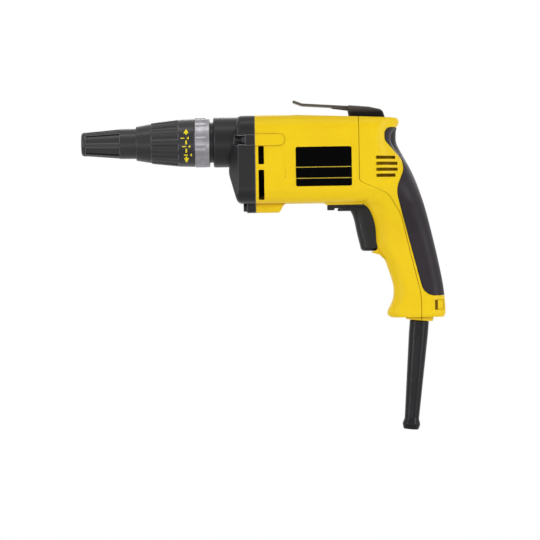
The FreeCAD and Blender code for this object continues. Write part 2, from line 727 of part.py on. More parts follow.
protector_x = parting_x + 48.2
protector_seat = 6.5
protector_top = protector_seat + 2.9
bay_z = bottom_z - 1.8
pillar_r = 2.9
pillar_x = (parting_x - pillar_r - 0.4, parting_x + 7.0)


def keel(half_w, low, radius):
    """End outline of a block under the motor, round along its lower edges."""
    high = bottom_z + 8
    return [(-half_w, low, radius), (half_w, low, radius), (half_w, high, 0), (-half_w, high, 0)]


def whole_body():
    """Outer form of motor housing, cover and handle in one, before it is parted."""
    foot = Part.makeCylinder(FOOT_R, FOOT_H + 3, V(0, 0, -FOOT_H), V(0, 0, 1))
    foot = along_cord(foot.makeFillet(1.5, [e for e in foot.Edges if e.BoundBox.ZMax < 0]))
    bay = slab([
        (parting_x - 29, bottom_z + 6, 0), (parting_x - 29, bottom_z + 0.5, 0), (parting_x - 26.5, bay_z, 2),
        (parting_x + 10, bay_z, 0), (parting_x + 10, bottom_z + 6, 0)], -14, 14)
    bay = bay.common(prism(keel(14, bay_z, 2.5), parting_x - 30, parting_x + 11))
    lip_x = parting_x + 9.8
    lip_z = trigger_low - 0.2
    lip_half_w = TRIGGER_HALF_W + 2.0
    lip = slab([
        (lip_x, lip_z, 0.5), (lip_x, lip_z - 1.2, 0.5), (lip_x + 6.5, lip_z - 2.9, 5),
        (lip_x + 11.5, lip_z - 8, 0), (lip_x + 16, lip_z - 8, 0), (lip_x + 16, lip_z + 6, 0),
        (lip_x + 5.3, lip_z + 6, 0), (lip_x + 4.4, lip_z, 3.5)], -lip_half_w, lip_half_w)
    lip = lip.common(plan([
        (lip_x, -lip_half_w, 5), (lip_x + 20, -lip_half_w, 0), (lip_x + 20, lip_half_w, 0),
        (lip_x, lip_half_w, 5)], lip_z - 12, lip_z + 12))
    whole = joined([cover_body(0), handle_body(0), foot, bay, lip])
    skin = joined([cover_body(GROOVE_DEEP), handle_body(GROOVE_DEEP)])
    groove = behind_parting(-GROOVE_W / 2).cut([behind_parting(GROOVE_W / 2), skin])
    return whole.cut(groove)


def core_body():
    """Form under the rubber grip."""
    return joined([cover_body(GRIP_THICK), handle_body(GRIP_THICK)])


def hollow():
    """Room inside the cover and the handle."""
    far = parting_x + 150
    inside = cover_body(SHELL).common(box(parting_x - SEAM, far, -80, 80, bottom_z - 20, top_z))
    front = box(parting_x - 20, parting_x + 15, -80, 80, bottom_z - 8, top_z)
    tall = box(parting_x, far, -80, 80, handle_z + 6, beak_z - HANDLE_WALL)
    grip_room = handle_body(HANDLE_WALL).cut(front).common(tall)
    return joined([inside, grip_room])


def along_cord(shape):
    """Leans a shape built on the Z axis, top at the handle's foot, along the protector."""
    shape.translate(V(protector_x, 0, handle_z))
    shape.rotate(V(protector_x, 0, handle_z), V(0, 1, 0), PROTECTOR_LEAN)
    return shape


def post(x, y, z0, z1, radius):
    return Part.makeCylinder(radius, z1 - z0, V(x, y, z0), V(0, 0, 1))


# Gear case and its screws

side_screw_y = MOTOR_HALF_W + MOTOR_SWELL - 2.6
side_screw_z = motor_z + 15.4
side_screw_x = seam_x - 8.1
low_screw_y = LUG_HALF_W - 5.5
low_screw_z = bottom_z - LUG_DROP + 4.4
low_screw_x = seam_x - LUG_DEPTH


def side_pad(x0, x1, end_r):
    """Raised pad over a side screw, rounded at its back end."""
    half = 4.5
    out = MOTOR_HALF_W + MOTOR_SWELL + 0.7
    low = side_screw_z - half
    high = side_screw_z + half
    return slab([(x0, low, 0), (x1, low, end_r), (x1, high, end_r), (x0, high, 0)], side_screw_y - 2, out)


def plate_outline(grow):
    half_w = side_screw_y - SCREW_SHANK_R - 3.0 + grow
    return [(-half_w, motor_z - 29 - grow, 12), (half_w, motor_z - 29 - grow, 12),
            (half_w, gear_tip_r + 2 + grow, 12), (-half_w, gear_tip_r + 2 + grow, 12)]


def case_form():
    """Outer form: the leaning front met by the housing's end outline, with bevelled cheeks."""
    top = top_z + 12
    lean = CASE_LEAN * (top - (motor_z - 10)) / (top_z - (motor_z - 10))
    side = slab([(seam_x, top, 0), (case_x0 + lean, top, 0), (case_x0 - 0.6, motor_z - 10, 20),
                 (case_x0 + 6.3, bottom_z + 1.2, 5), (seam_x, bottom_z - MOTOR_SWELL - 0.5, 0)], -60, 60)
    ends = prism(end_outline(0, MOTOR_SWELL), case_x0 - 30, seam_x)
    form = side.common(ends)
    rim = []
    for edge in form.Edges:
        middle = Part.Vertex(edge.valueAt((edge.FirstParameter + edge.LastParameter) / 2))
        on_side = side.Shells[0].distToShape(middle)[0] < 0.001
        on_ends = ends.Shells[0].distToShape(middle)[0] < 0.001
        if on_side and on_ends and middle.X < seam_x - 0.5:
            rim.append(edge)
    cheek_x = seam_x - CASE_SIDE_LEN
    cheek_y = MOTOR_HALF_W + MOTOR_SWELL
    run = 2 * CASE_DEPTH
    drop = run * math.tan(math.radians(CASE_FACET_DEG))
    facet = plan([(cheek_x, cheek_y, 0), (cheek_x - run, cheek_y - drop, 0), (cheek_x - run, cheek_y + 10, 0),
                  (cheek_x, cheek_y + 10, 0)], bottom_z - 30, top_z + 30)
    return form.makeFillet(CASE_EDGE_R, rim).cut(both_sides(facet))


def gear_case():
    """Gear case with its neck, snout and screw lugs, bored for the gears."""
    neck = turned([(neck_x0, 0, 0), (neck_x0, NECK_R, 1.6), (seam_x - 8, NECK_R, 0), (seam_x - 8, 0, 0)])
    snout = turned([
        (snout_x0, 0, 0), (snout_x0, SNOUT_R, 0.8), (neck_x0 + 2, SNOUT_R, 0), (neck_x0 + 2, 0, 0)])
    low = bottom_z - LUG_DROP
    lug = prism(keel(LUG_HALF_W, low, 4), low_screw_x, seam_x)
    pads = both_sides(side_pad(side_screw_x, seam_x, 0))
    body = joined([case_form(), neck, snout, lug] + pads)
    room_x0 = case_x0 - 8
    cuts = both_sides(rod(room_x0, side_screw_x, SCREW_HEAD_R + 0.9, side_screw_y, side_screw_z))
    cuts += both_sides(rod(room_x0, low_screw_x, SCREW_HEAD_R + SLIDE, low_screw_y, low_screw_z))
    for y, z in ((side_screw_y, side_screw_z), (low_screw_y, low_screw_z)):
        cuts += both_sides(rod(room_x0, seam_x + 1, SCREW_SHANK_R + 0.2, y, z))
    cuts += [
        rod(snout_x0 - 1, flange_x0, SPINDLE_R + 0.8), rod(snout_x0 + 1, flange_x0, bush_r + FIT),
        rod(flange_x0 - SLIDE, plate_x0 + 1, gear_tip_r + 1),
        rod(gear_x0 - 2, plate_x0 + 1, pinion_tip_r + 1, 0, motor_z),
        prism(plate_outline(SEAT), plate_x0, seam_x + 1),
        tube(retain_x - 0.9, retain_x + 0.9, SNOUT_R + 1, SNOUT_R - 1.2)]
    return body.cut(cuts)


def bearing_plate():
    """Plate that closes the gear room and carries the front bearing and the gear's bush."""
    plate = prism(plate_outline(0), plate_x0, seam_x)
    return plate.cut([
        rod(bearing_x0, seam_x + 1, BEARING_R + FIT, 0, motor_z),
        rod(plate_x0 - 1, seam_x, JOURNAL_R + 1.0, 0, motor_z),
        rod(plate_x0 - 1, hub_x1, gear_bush_r + FIT),
        rod(plate_x0 - 1, hub_x1 + push_travel + 1, PILOT_R + 0.5)])


def cap_screw(x, y, z, length):
    """Round-headed screw pointing back along the tool, with a driving recess."""
    x0 = x - SCREW_HEAD_H
    head = turned([(x0, 0, 0), (x0, SCREW_HEAD_R, 0.8), (x, SCREW_HEAD_R, 0), (x, 0, 0)])
    recess = hexagon(x0 - 1, x0 + 1.6, SCREW_HEAD_R)
    screw = joined([head, rod(x - 0.5, x + length, SCREW_SHANK_R)]).cut(recess)
    screw.translate(V(0, y, z))
    return screw


def gear_case_screws():
    side = both_sides(cap_screw(side_screw_x, side_screw_y, side_screw_z, SCREW_LEN))
    low = both_sides(cap_screw(low_screw_x, low_screw_y, low_screw_z, SCREW_LEN))
    return Part.makeCompound(side + low)


# Motor housing, cover and grip

def vents():
    """Two outlet slots on each side, over the fan."""
    slots = []
    for high, low in ((10.5, -4.3), (-8.8, -33.0)):
        slots += both_sides(slab([
            (seam_x + 2.4, motor_z + low, 0.8), (seam_x + 7.0, motor_z + low, 0.8),
            (seam_x + 7.0, motor_z + high, 0.8), (seam_x + 2.4, motor_z + high, 0.8)], 18, 45))
    return slots


def label_recess():
    """Shallow bed for the plate on the left side."""
    deep = 0.4
    x0 = parting_x - 51.4
    x1 = x0 + 45.4
    z0 = motor_z - 22.7
    z1 = motor_z + 9.3
    r = 1.6
    return slab([(x0, z0, r), (x1, z0, r), (x1, z1, r), (x0, z1, r)], -60, deep - MOTOR_HALF_W)


latch_x = parting_x + 60.2
latch_top = bottom_z - 80.4


def latch_arm():
    """Arm that passes over the protector's head to a hook in the cover's window."""
    top = latch_top - 2 * SEAT
    low = top - LATCH_H + 4 * SEAT
    y0 = 7.8
    y1 = y0 + 2.4
    hook_x = latch_x + 2.3
    end_x = latch_x + LATCH_LEN - SLIDE
    hook = plan([(hook_x - 2, y0, 0), (end_x, y0, 0), (end_x, y1 + 0.6, 0), (hook_x, y1 + 5.4, 0),
                 (hook_x, y1, 0), (hook_x - 2, y1, 0)], low, top)
    arm_low = handle_z + protector_top + 1
    arm = box(parting_x + 40, hook_x, y0, y1, arm_low, top)
    foot = box(parting_x + 38, parting_x + 46, y0, y0 + 6.2, arm_low, top)
    return joined([hook, arm, foot])


switch_x0 = parting_x + 25.2
switch_x1 = parting_x + 46.0
switch_half_w = 9.0
switch_top = bottom_z - 8.0
switch_low = bottom_z - 41.0
lever_z1 = bay_z - 2 * SEAT
lever_z0 = lever_z1 - LEVER_THICK
lever_x = parting_x + 8.0
trigger_top = lever_z0 - 2 * SEAT
trigger_low = bottom_z - TRIGGER_DROP - 1.2
trigger_x1 = switch_x0 - TRIGGER_TRAVEL - 0.5
plunger_z = (trigger_top + trigger_low) / 2
clamp_x = parting_x + 40.0
clamp_z = bottom_z - 71.0
clamp_screw_y = 6.2


def motor_housing(body, room):
    """Motor housing and the front of the handle, bored for the motor."""
    low = bottom_z - LUG_DROP
    lug = slab([
        (seam_x, bottom_z + 8, 0), (seam_x, low, 0), (seam_x + 19.2, low, 3), (seam_x + 22.8, bottom_z - 0.3, 4),
        (seam_x + 31, bottom_z + 0.4, 0), (seam_x + 31, bottom_z + 8, 0)], -LUG_HALF_W, LUG_HALF_W)
    lug = lug.common(prism(keel(LUG_HALF_W, low, 4), seam_x, seam_x + 31))
    pads = both_sides(side_pad(seam_x, seam_x + 23.6, 4.4))
    pillar = post(pillar_x[0], 0, top_z - 3, clip_under(pillar_x[0]), pillar_r)
    form = joined([body.cut(behind_parting(-SEAM / 2)), lug, pillar] + pads)
    bores = [
        rod(seam_x - 1, bulkhead_x0, FIELD_R + SEAT, 0, motor_z),
        rod(rear_bearing_x0, parting_x + 1, BEARING_R + FIT, 0, motor_z),
        rod(bulkhead_x0 - 1, parting_x, JOURNAL_R + 1.5, 0, motor_z),
        prism([(-27, bottom_z + SHELL, 9), (27, bottom_z + SHELL, 9), (27, motor_z, 0), (-27, motor_z, 0)],
              seam_x - 1, baffle_x0)]
    for y, z in ((side_screw_y, side_screw_z), (low_screw_y, low_screw_z)):
        bores += both_sides(rod(seam_x - 1, seam_x + SCREW_LEN, SCREW_SHANK_R + SEAT, y, z))
    slot = box(parting_x - 12, switch_x0 - 0.5, -TRIGGER_HALF_W - 0.5, TRIGGER_HALF_W + 0.5,
               trigger_low - 0.5, bay_z)
    pin = post(lever_x, 0, bay_z - 1, bay_z + 4, 2.0 + SEAT)
    clip_hole = post(pillar_x[0], 0, top_z - 9, top_z + 20, 1.5 + SEAT)
    shell = form.cut(bores + vents() + [label_recess(), room, slot, pin, clip_hole, protector_hole()])
    ribs = []
    rib = box(switch_x0 + 0.8, switch_x0 + 5.8, switch_half_w + 0.2, 13.5, switch_low + 8, switch_top - 6)
    for y in (-clamp_screw_y, clamp_screw_y):
        ribs.append(rod(parting_x + 29, clamp_x, 2.8, y, clamp_z))
    web = box(seam_x + SEAT, baffle_x0, -1, 1, bottom_z + 1, motor_z - FAN_R - 0.5)
    shell = joined([shell, web] + ribs + both_sides(rib) + both_sides(latch_arm()))
    holes = [rod(clamp_x - 8, clamp_x + 1, 1.3 + SEAT, y, clamp_z) for y in (-clamp_screw_y, clamp_screw_y)]
    return shell.cut(holes)


def protector_hole():
    """Passage for the cord protector through the foot of the handle."""
    passage = Part.makeCylinder(PROTECTOR_TOP_R - 0.6 + SEAT, 30, V(0, 0, -15), V(0, 0, 1))
    seat = Part.makeCylinder(PROTECTOR_HEAD_R + SLIDE, 6, V(0, 0, protector_seat - SEAT), V(0, 0, 1))
    return along_cord(joined([passage, seat]))


def cover_slots():
    """Inlet slots on each side; the outer two are shorter."""
    slots = []
    for k in range(SLOTS):
        z = bottom_z + 21.1 + SLOT_PITCH * k
        reach = 29.3 if k in (0, SLOTS - 1) else 31.2
        x0 = parting_x + 13.7
        x1 = parting_x + reach
        low = z - SLOT_H / 2
        high = z + SLOT_H / 2
        slots += both_sides(slab([(x0, low, 0.7), (x1, low, 0.7), (x1, high, 0.7), (x0, high, 0.7)], 9, 45))
    return slots


def handle_cover(body, room, core):
    """Back of the motor and of the handle, cut back where the rubber lies."""
    form = body.common(behind_parting(SEAM / 2))
    window = both_sides(box(latch_x, latch_x + LATCH_LEN, 7.5, 30, latch_top - LATCH_H, latch_top))
    shell = form.cut([behind_grip(0).cut(core), room, protector_hole()] + cover_slots() + window)
    boss = post(pillar_x[1], 0, top_z - 12, clip_under(pillar_x[1]), pillar_r)
    hole = post(pillar_x[1], 0, top_z - 13, top_z + 20, 1.5 + SEAT)
    guide = box(parting_x + 13, parting_x + 33, 13.5, 15, bottom_z + 16, bottom_z + 46).common(room)
    rib = box(parting_x + 59.5, parting_x + 66, -0.9, 0.9, bottom_z - 89.5, bottom_z - 79)
    return joined([shell, boss, rib] + both_sides(guide)).cut(hole)


def rear_grip(body):
    """Rubber over the back of the handle."""
    inner = joined([cover_body(GRIP_THICK - SEAT), handle_body(GRIP_THICK - SEAT)])
    return body.common(behind_grip(GRIP_GAP)).cut(inner)


# Trigger, lever and switch

def trigger():
    """Finger trigger: round-fronted blade, a ledge under the lever and the plunger behind."""
    px = parting_x
    half_w = TRIGGER_HALF_W
    nose_r = half_w - 0.6
    foot_r = 3.2
    levels = []
    for down, front in ((1.0, -8.0), (4.0, -6.2), (9.0, -4.4), (18.0, -2.6), (26.0, -0.8), (31.0, 0.4)):
        levels.append(level(trigger_top - down, px + front, trigger_x1, half_w, nose_r, 0))
    levels.append(level(trigger_low, px + 1.2, trigger_x1, half_w, nose_r, 0))
    blade = Part.makeLoft(levels, True, False)
    under = [e for e in blade.Edges if e.BoundBox.ZMax < trigger_low + 0.01 and e.BoundBox.XMin < trigger_x1 - 1]
    blade = blade.makeFillet(foot_r, under)
    ledge_x = px - 17.5
    ledge_z = trigger_top - 2.2
    ledge = slab([(ledge_x, trigger_top, 0.8), (ledge_x, ledge_z, 0.8), (trigger_x1, ledge_z, 0),
                  (trigger_x1, trigger_top, 1)], -half_w, half_w)
    ledge = ledge.common(plan([
        (ledge_x, -half_w, 5), (trigger_x1, -half_w, 0), (trigger_x1, half_w, 0), (ledge_x, half_w, 5)],
        ledge_z - 1, trigger_top + 1))
    plunger = rod(trigger_x1 - 2, switch_x0 + 7, PLUNGER_R, 0, plunger_z)
    return joined([blade, ledge, plunger])


def reversing_lever():
    """Flat lever over the trigger with a thumb knob in front and a pivot pin above."""
    tip = lever_x - LEVER_LEN
    arm = plan([(tip + 2, -LEVER_HALF_W, 1), (lever_x - 8, -LEVER_HALF_W + 1, 0), (lever_x + 5, -5, 4),
                (lever_x + 5, 5, 4), (lever_x - 8, LEVER_HALF_W - 1, 0), (tip + 2, LEVER_HALF_W, 1)],
               lever_z0, lever_z1)
    knob = slab([(tip, lever_z0 - 1.6, 0.8), (tip + 6, lever_z0 - 1.6, 0.8), (tip + 6, lever_z1, 0.3),
                 (tip, lever_z1, 0.8)], -LEVER_HALF_W - 1, LEVER_HALF_W + 1)
    return joined([arm, knob, post(lever_x, 0, lever_z0, lever_z1 + 4, 2.0)])


def switch_body():
    """Trigger switch with its plunger bore."""
    block = slab([(switch_x0, switch_low, 1.5), (switch_x1, switch_low, 1.5), (switch_x1, switch_top, 1.5),
                  (switch_x0, switch_top, 1.5)], -switch_half_w, switch_half_w)
    return block.cut(rod(switch_x0 - 1, switch_x0 + 7 + TRIGGER_TRAVEL + 1, PLUNGER_R + SEAT, 0, plunger_z))


# Belt clip

def clip_top(x):
    """Height of the clip's saddle above the spindle line."""
    return top_z + CLIP_RISE - 0.085 * (x - (parting_x - 9))


def clip_under(x):
    return clip_top(x) - CLIP_SHEET - 0.2


def belt_clip():
    """Bent sheet clip: saddle on the housing, long strip forward with a lifted tip."""
    px = parting_x
    z0 = clip_top(px - 9)
    floor = top_z - 4.4
    saddle = slab([
        (px - 8.9, z0, 1.5), (px + 9, clip_top(px + 9), 14), (px + 20, clip_top(px + 20) - 1.6, 5),
        (px + 22.6, floor, 0), (px - 6.5, floor, 0)], -CLIP_SADDLE_HALF_W, CLIP_SADDLE_HALF_W)
    ridge = [e for e in saddle.Edges if e.BoundBox.YLength < 0.001 and e.BoundBox.ZMin > floor + 0.01
             and e.BoundBox.XMin > px - 8.8]
    saddle = saddle.makeFillet(2.6, ridge)
    inner = CLIP_SADDLE_HALF_W - CLIP_SHEET
    under = slab([
        (px - 12, z0 - CLIP_SHEET, 0), (px + 9, clip_top(px + 9) - CLIP_SHEET, 14),
        (px + 18.6, clip_top(px + 18.6) - 1.4 - CLIP_SHEET, 4), (px + 20, floor - 5, 0),
        (px - 12, floor - 5, 0)], -inner, inner)
    z1 = z0 + 1.8
    z2 = z0 - 1.0
    tip_z = z1 + 2.8
    strip = slab([
        (px - 4, z2, 0), (px - 45.5, z1, 8), (px - 52.6, tip_z, 0.6), (px - 53.2, tip_z - CLIP_SHEET, 0.6),
        (px - 45.5, z1 - CLIP_SHEET, 8), (px - 4, z2 - CLIP_SHEET, 0)], -CLIP_HALF_W, CLIP_HALF_W)
    corners = plan([(px - 53.5, -CLIP_HALF_W, 5), (px - 3, -CLIP_HALF_W, 0), (px - 3, CLIP_HALF_W, 0),
                    (px - 53.5, CLIP_HALF_W, 5)], top_z, top_z + 30)
    flange = slab([
        (px - 27, z2 + 1.2, 0), (px - 5, z2 - 0.4, 0), (px - 5, z2 - 3.4, 1), (px - 20, z2 - 1.4, 0)],
        CLIP_HALF_W - CLIP_SHEET, CLIP_HALF_W)
    throat = box(px - 8, px - 3, CLIP_HALF_W - 1, CLIP_SADDLE_HALF_W - 0.5, z2 - 1.6, z2)
    body = joined([saddle.cut(under), strip.common(corners)] + both_sides(flange) + both_sides(throat))
    holes = [post(x, 0, top_z, top_z + 20, 1.5 + SEAT) for x in pillar_x]
    rooms = [post(x, 0, top_z, clip_under(x) + 0.1, pillar_r + SLIDE) for x in pillar_x]
    sinks = [post(x, 0, clip_top(x) - 0.9, clip_top(x) + 6, 3.1) for x in pillar_x]
    return body.cut([cover_body(-SEAT)] + holes + rooms + sinks)


def belt_clip_screws():
    """Flat-headed screws sunk in the saddle."""
    screws = []
    for x in pillar_x:
        top = clip_top(x)
        head = post(x, 0, top - 0.9, top - 0.1, 2.9)
        recess = hexagon(0, 1.0, 2.6)
        recess.rotate(V(0, 0, 0), V(0, 1, 0), -90)
        recess.translate(V(x, 0, top - 0.6))
        screws.append(joined([head, post(x, 0, top_z - 8, top - 0.5, 1.5)]).cut(recess))
    return Part.makeCompound(screws)


# Cord protector and clamp

def cord_protector():
    """Rubber sleeve held in the foot of the handle, tapering to a flared end."""
    low = -PROTECTOR_LEN
    neck = PROTECTOR_TOP_R - 0.6
    under_foot = -FOOT_H - SLIDE
    wire = rounded_wire([
        (CORD_R, protector_top, 0.5), (PROTECTOR_HEAD_R, protector_top, 0.8),
        (PROTECTOR_HEAD_R, protector_seat, 0), (neck, protector_seat, 0), (neck, under_foot, 0),
        (PROTECTOR_TOP_R, under_foot, 0.6), (PROTECTOR_TOP_R, -14, 30), (PROTECTOR_END_R, low + 9, 5),
        (PROTECTOR_FLARE_R, low + 4.5, 2.5), (PROTECTOR_FLARE_R - 1.2, low, 1.5), (CORD_R, low, 1.0)],
        lambda r, z: V(r, 0, z))
    return along_cord(Part.Face(wire).revolve(V(0, 0, 0), V(0, 0, 1), 360))


def cord_clamp():
    """Bar that holds the cord inside the handle."""
    bar = box(clamp_x, clamp_x + 3.5, -9, 9, clamp_z - 3.5, clamp_z + 3.5)
    holes = [rod(clamp_x - 1, clamp_x + 5, 1.3 + SEAT, y, clamp_z) for y in (-clamp_screw_y, clamp_screw_y)]
    return bar.cut(holes)


def cord_clamp_screws():
    screws = []
    x = clamp_x + 3.5
    for y in (-clamp_screw_y, clamp_screw_y):
        screws.append(joined([rod(x, x + 1.8, 2.5, y, clamp_z), rod(clamp_x - 7.5, x + 1, 1.3, y, clamp_z)]))
    return Part.makeCompound(screws)


def main():
    os.makedirs("parts", exist_ok=True)
    body = whole_body()
    room = hollow()
    core = core_body()
    shapes = {
        "motor_housing": motor_housing(body, room),
        "handle_cover": handle_cover(body, room, core),
        "rear_grip": rear_grip(body),
        "front_bearing": bearing(bearing_x0),
        "rear_bearing": bearing(rear_bearing_x0)}
    makers = (
        gear_case, bearing_plate, gear_case_screws, nose_cone, depth_collar, locating_ring, retaining_ring,
        driver_bit, bit_holder, spindle, thrust_washer, clutch_spring, clutch_gear, spindle_bush, gear_bush,
        armature_shaft, armature_core, armature_windings, commutator, cooling_fan, fan_baffle, field_core,
        field_coils, brush_holders, carbon_brushes, brush_springs, trigger, reversing_lever, switch_body,
        belt_clip, belt_clip_screws, cord_protector, cord_clamp, cord_clamp_screws)
    for maker in makers:
        shapes[maker.__name__] = maker()
    for name, shape in shapes.items():
        print(name, shape.isValid(), round(shape.Volume), len(shape.Solids))
        save(name, shape)


main()
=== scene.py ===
# %% [markdown]
# # A drywall screwdriver, dressed
# The frame brings every piece of the tool at its true size and place: shells, gears, motor, trigger.
# This lesson gives those pieces their surfaces, adds the few thin things that are printed or pushed in,
# and sets up a plain studio. Lengths on the tool are written in millimetres and turned to metres by one
# factor, so a number here can be checked against a ruler. The studio is set out in metres.

# %% Load the frame
import math

import bmesh
import bpy
from mathutils import Matrix, Vector


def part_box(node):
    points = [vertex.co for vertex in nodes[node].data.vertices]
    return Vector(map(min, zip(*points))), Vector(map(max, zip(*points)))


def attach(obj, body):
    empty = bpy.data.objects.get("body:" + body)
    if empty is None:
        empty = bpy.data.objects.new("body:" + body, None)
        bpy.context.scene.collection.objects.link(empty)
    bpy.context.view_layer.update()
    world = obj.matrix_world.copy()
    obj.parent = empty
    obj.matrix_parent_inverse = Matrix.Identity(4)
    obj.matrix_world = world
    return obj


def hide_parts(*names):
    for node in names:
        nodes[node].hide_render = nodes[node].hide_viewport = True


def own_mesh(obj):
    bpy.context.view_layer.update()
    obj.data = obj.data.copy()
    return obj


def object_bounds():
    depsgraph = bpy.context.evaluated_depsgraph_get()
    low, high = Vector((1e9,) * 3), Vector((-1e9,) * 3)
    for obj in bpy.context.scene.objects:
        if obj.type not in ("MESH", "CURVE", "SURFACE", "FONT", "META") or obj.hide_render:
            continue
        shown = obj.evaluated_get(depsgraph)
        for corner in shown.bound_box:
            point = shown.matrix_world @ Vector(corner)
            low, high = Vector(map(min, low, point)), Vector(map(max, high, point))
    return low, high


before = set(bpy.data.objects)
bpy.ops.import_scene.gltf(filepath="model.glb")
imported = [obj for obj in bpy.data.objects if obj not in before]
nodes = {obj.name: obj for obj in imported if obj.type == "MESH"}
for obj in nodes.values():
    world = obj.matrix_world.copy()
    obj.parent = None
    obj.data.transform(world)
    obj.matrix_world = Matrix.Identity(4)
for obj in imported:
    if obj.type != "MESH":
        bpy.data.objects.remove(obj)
cad_box = [list(corner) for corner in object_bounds()]
MM = 0.001
print(len(nodes), "pieces, box", [round((high - low) / MM, 1) for low, high in zip(*cad_box)], "mm")

# %% [markdown]
# ## Camera
# The tool is seen square on from its left side, from far off, with its nose a touch low. A short lens
# close by would bend the outline, so a long lens far away is chosen. The picture's scale comes from one
# real size, the tool's length, and the tip of the nose fixes where the frame lies.

# %% Camera
PICTURE_PX = 540
MM_PER_PX = 0.8175
NOSE_TIP_PX = (81.5, 144.6)
ROLL_DEG = 0.9
CAMERA_AWAY = 3.0
SENSOR = 36.0

roll = math.radians(ROLL_DEG)
right = Vector((math.cos(roll), 0, -math.sin(roll)))
up = Vector((math.sin(roll), 0, math.cos(roll)))
back = right.cross(up)
half_px = PICTURE_PX / 2
centre = (right * (half_px - NOSE_TIP_PX[0]) - up * (half_px - NOSE_TIP_PX[1])) * MM_PER_PX * MM

camera_data = bpy.data.cameras.new("camera")
camera_data.sensor_width = SENSOR
camera_data.lens = SENSOR * CAMERA_AWAY / (PICTURE_PX * MM_PER_PX * MM)
camera = bpy.data.objects.new("camera", camera_data)
camera.matrix_world = Matrix((right, up, back)).transposed().to_4x4()
camera.location = centre + back * CAMERA_AWAY
bpy.context.scene.collection.objects.link(camera)
bpy.context.scene.camera = camera
bpy.context.scene.view_settings.view_transform = "Standard"
print("lens", round(camera_data.lens), "mm, looking at", [round(c / MM, 1) for c in centre])

# %% [markdown]
# ## Helpers for node trees
# Every finish below is a small tree of nodes. One function adds a node, sets its own options, and gives
# each of its inputs a value or, where the value is a socket of another node, a link. Colours are written
# as the hex values a paint program shows, and one function turns them to the linear light that shaders
# work in.

# %% Helpers
def feed(tree, node, inputs):
    """Gives each input of a node its value, or a link where the value is another node's socket."""
    for key, value in inputs.items():
        if isinstance(value, bpy.types.NodeSocket):
            tree.links.new(value, node.inputs[key])
        else:
            node.inputs[key].default_value = value


def add(tree, kind, inputs=None, **options):
    """Adds one node with its own options and feeds its inputs."""
    node = tree.nodes.new(kind)
    for name, value in options.items():
        setattr(node, name, value)
    feed(tree, node, inputs or {})
    return node


def linear(colour):
    """Linear RGBA of an sRGB hex colour."""
    parts = [int(colour[i:i + 2], 16) / 255 for i in (1, 3, 5)]
    return [c / 12.92 if c <= 0.04045 else ((c + 0.055) / 1.055) ** 2.4 for c in parts] + [1.0]


def per_mm(size):
    """Texture scale at which one cell is about this many millimetres wide."""
    return 1 / (size * MM)


def group_input(tree, name, kind="NodeSocketFloat"):
    """A named input of a geometry tree; returns its identifier."""
    return tree.interface.new_socket(name=name, in_out="INPUT", socket_type=kind).identifier


def piece(name, build, finish):
    """Turns a bmesh into an object at the origin, in its finish."""
    mesh = bpy.data.meshes.new(name)
    build.to_mesh(mesh)
    build.free()
    mesh.materials.append(finish)
    made = bpy.data.objects.new(name, mesh)
    bpy.context.scene.collection.objects.link(made)
    return made


print("mid grey #808080 is", round(linear("#808080")[0], 3), "in linear light")

# %% [markdown]
# ## The white room
# A catalogue picture is taken in a white room: a floor well below the tool, a white world around it. A
# plain white world would light every side alike and flatten the forms. So the Light Path node parts the
# two jobs: the camera and mirror-like surfaces see plain white, while the diffuse light that the world
# sheds is weaker. Near the tool the floor darkens where it is shaded; further off it is plain white.

# %% The white room
FLOOR_BELOW = 0.12
FLOOR_SIZE = 40
WORLD_FILL = 0.37
FLOOR_GLOW = 0.8
SHADOW_REACH = (0.2, 0.45)
WHITE = "#FFFFFF"
PAPER = "#F3F3F3"


def seen_white(tree):
    """One where the camera, a mirror or a clear body looks, nought for diffuse light."""
    path = add(tree, "ShaderNodeLightPath").outputs
    looks = add(tree, "ShaderNodeMath", {0: path["Is Camera Ray"], 1: path["Is Glossy Ray"]},
                operation="MAXIMUM")
    return add(tree, "ShaderNodeMath", {0: looks.outputs[0], 1: path["Is Transmission Ray"]},
               operation="MAXIMUM").outputs[0]


def white_world():
    """A world that is seen white and sheds less light than it shows."""
    world = bpy.data.worlds.new("white_room")
    world.use_nodes = True
    tree = world.node_tree
    tree.nodes.clear()
    level = add(tree, "ShaderNodeMapRange", {
        "Value": seen_white(tree), "To Min": WORLD_FILL, "To Max": 1.0})
    glow = add(tree, "ShaderNodeBackground", {"Color": linear(WHITE), "Strength": level.outputs[0]})
    add(tree, "ShaderNodeOutputWorld", {"Surface": glow.outputs[0]})
    bpy.context.scene.world = world


def paper_finish(z):
    """White paper that takes a soft shade under the tool and fades into the room further off."""
    paint = bpy.data.materials.new("White paper floor")
    paint.use_nodes = True
    tree = paint.node_tree
    tree.nodes.clear()
    spot = add(tree, "ShaderNodeTexCoord").outputs["Object"]
    away = add(tree, "ShaderNodeVectorMath", {0: spot, 1: (centre.x, 0, z)}, operation="DISTANCE")
    white = add(tree, "ShaderNodeMapRange", {
        "Value": away.outputs["Value"], "From Min": SHADOW_REACH[0], "From Max": SHADOW_REACH[1],
        "To Min": FLOOR_GLOW, "To Max": 1.0})
    share = add(tree, "ShaderNodeMath", {0: seen_white(tree), 1: white.outputs[0]}, operation="MULTIPLY")
    paper = add(tree, "ShaderNodeBsdfDiffuse", {"Color": linear(PAPER)})
    glow = add(tree, "ShaderNodeEmission", {"Color": linear(WHITE), "Strength": 1.0})
    mix = add(tree, "ShaderNodeMixShader", {0: share.outputs[0], 1: paper.outputs[0], 2: glow.outputs[0]})
    add(tree, "ShaderNodeOutputMaterial", {"Surface": mix.outputs[0]})
    return paint


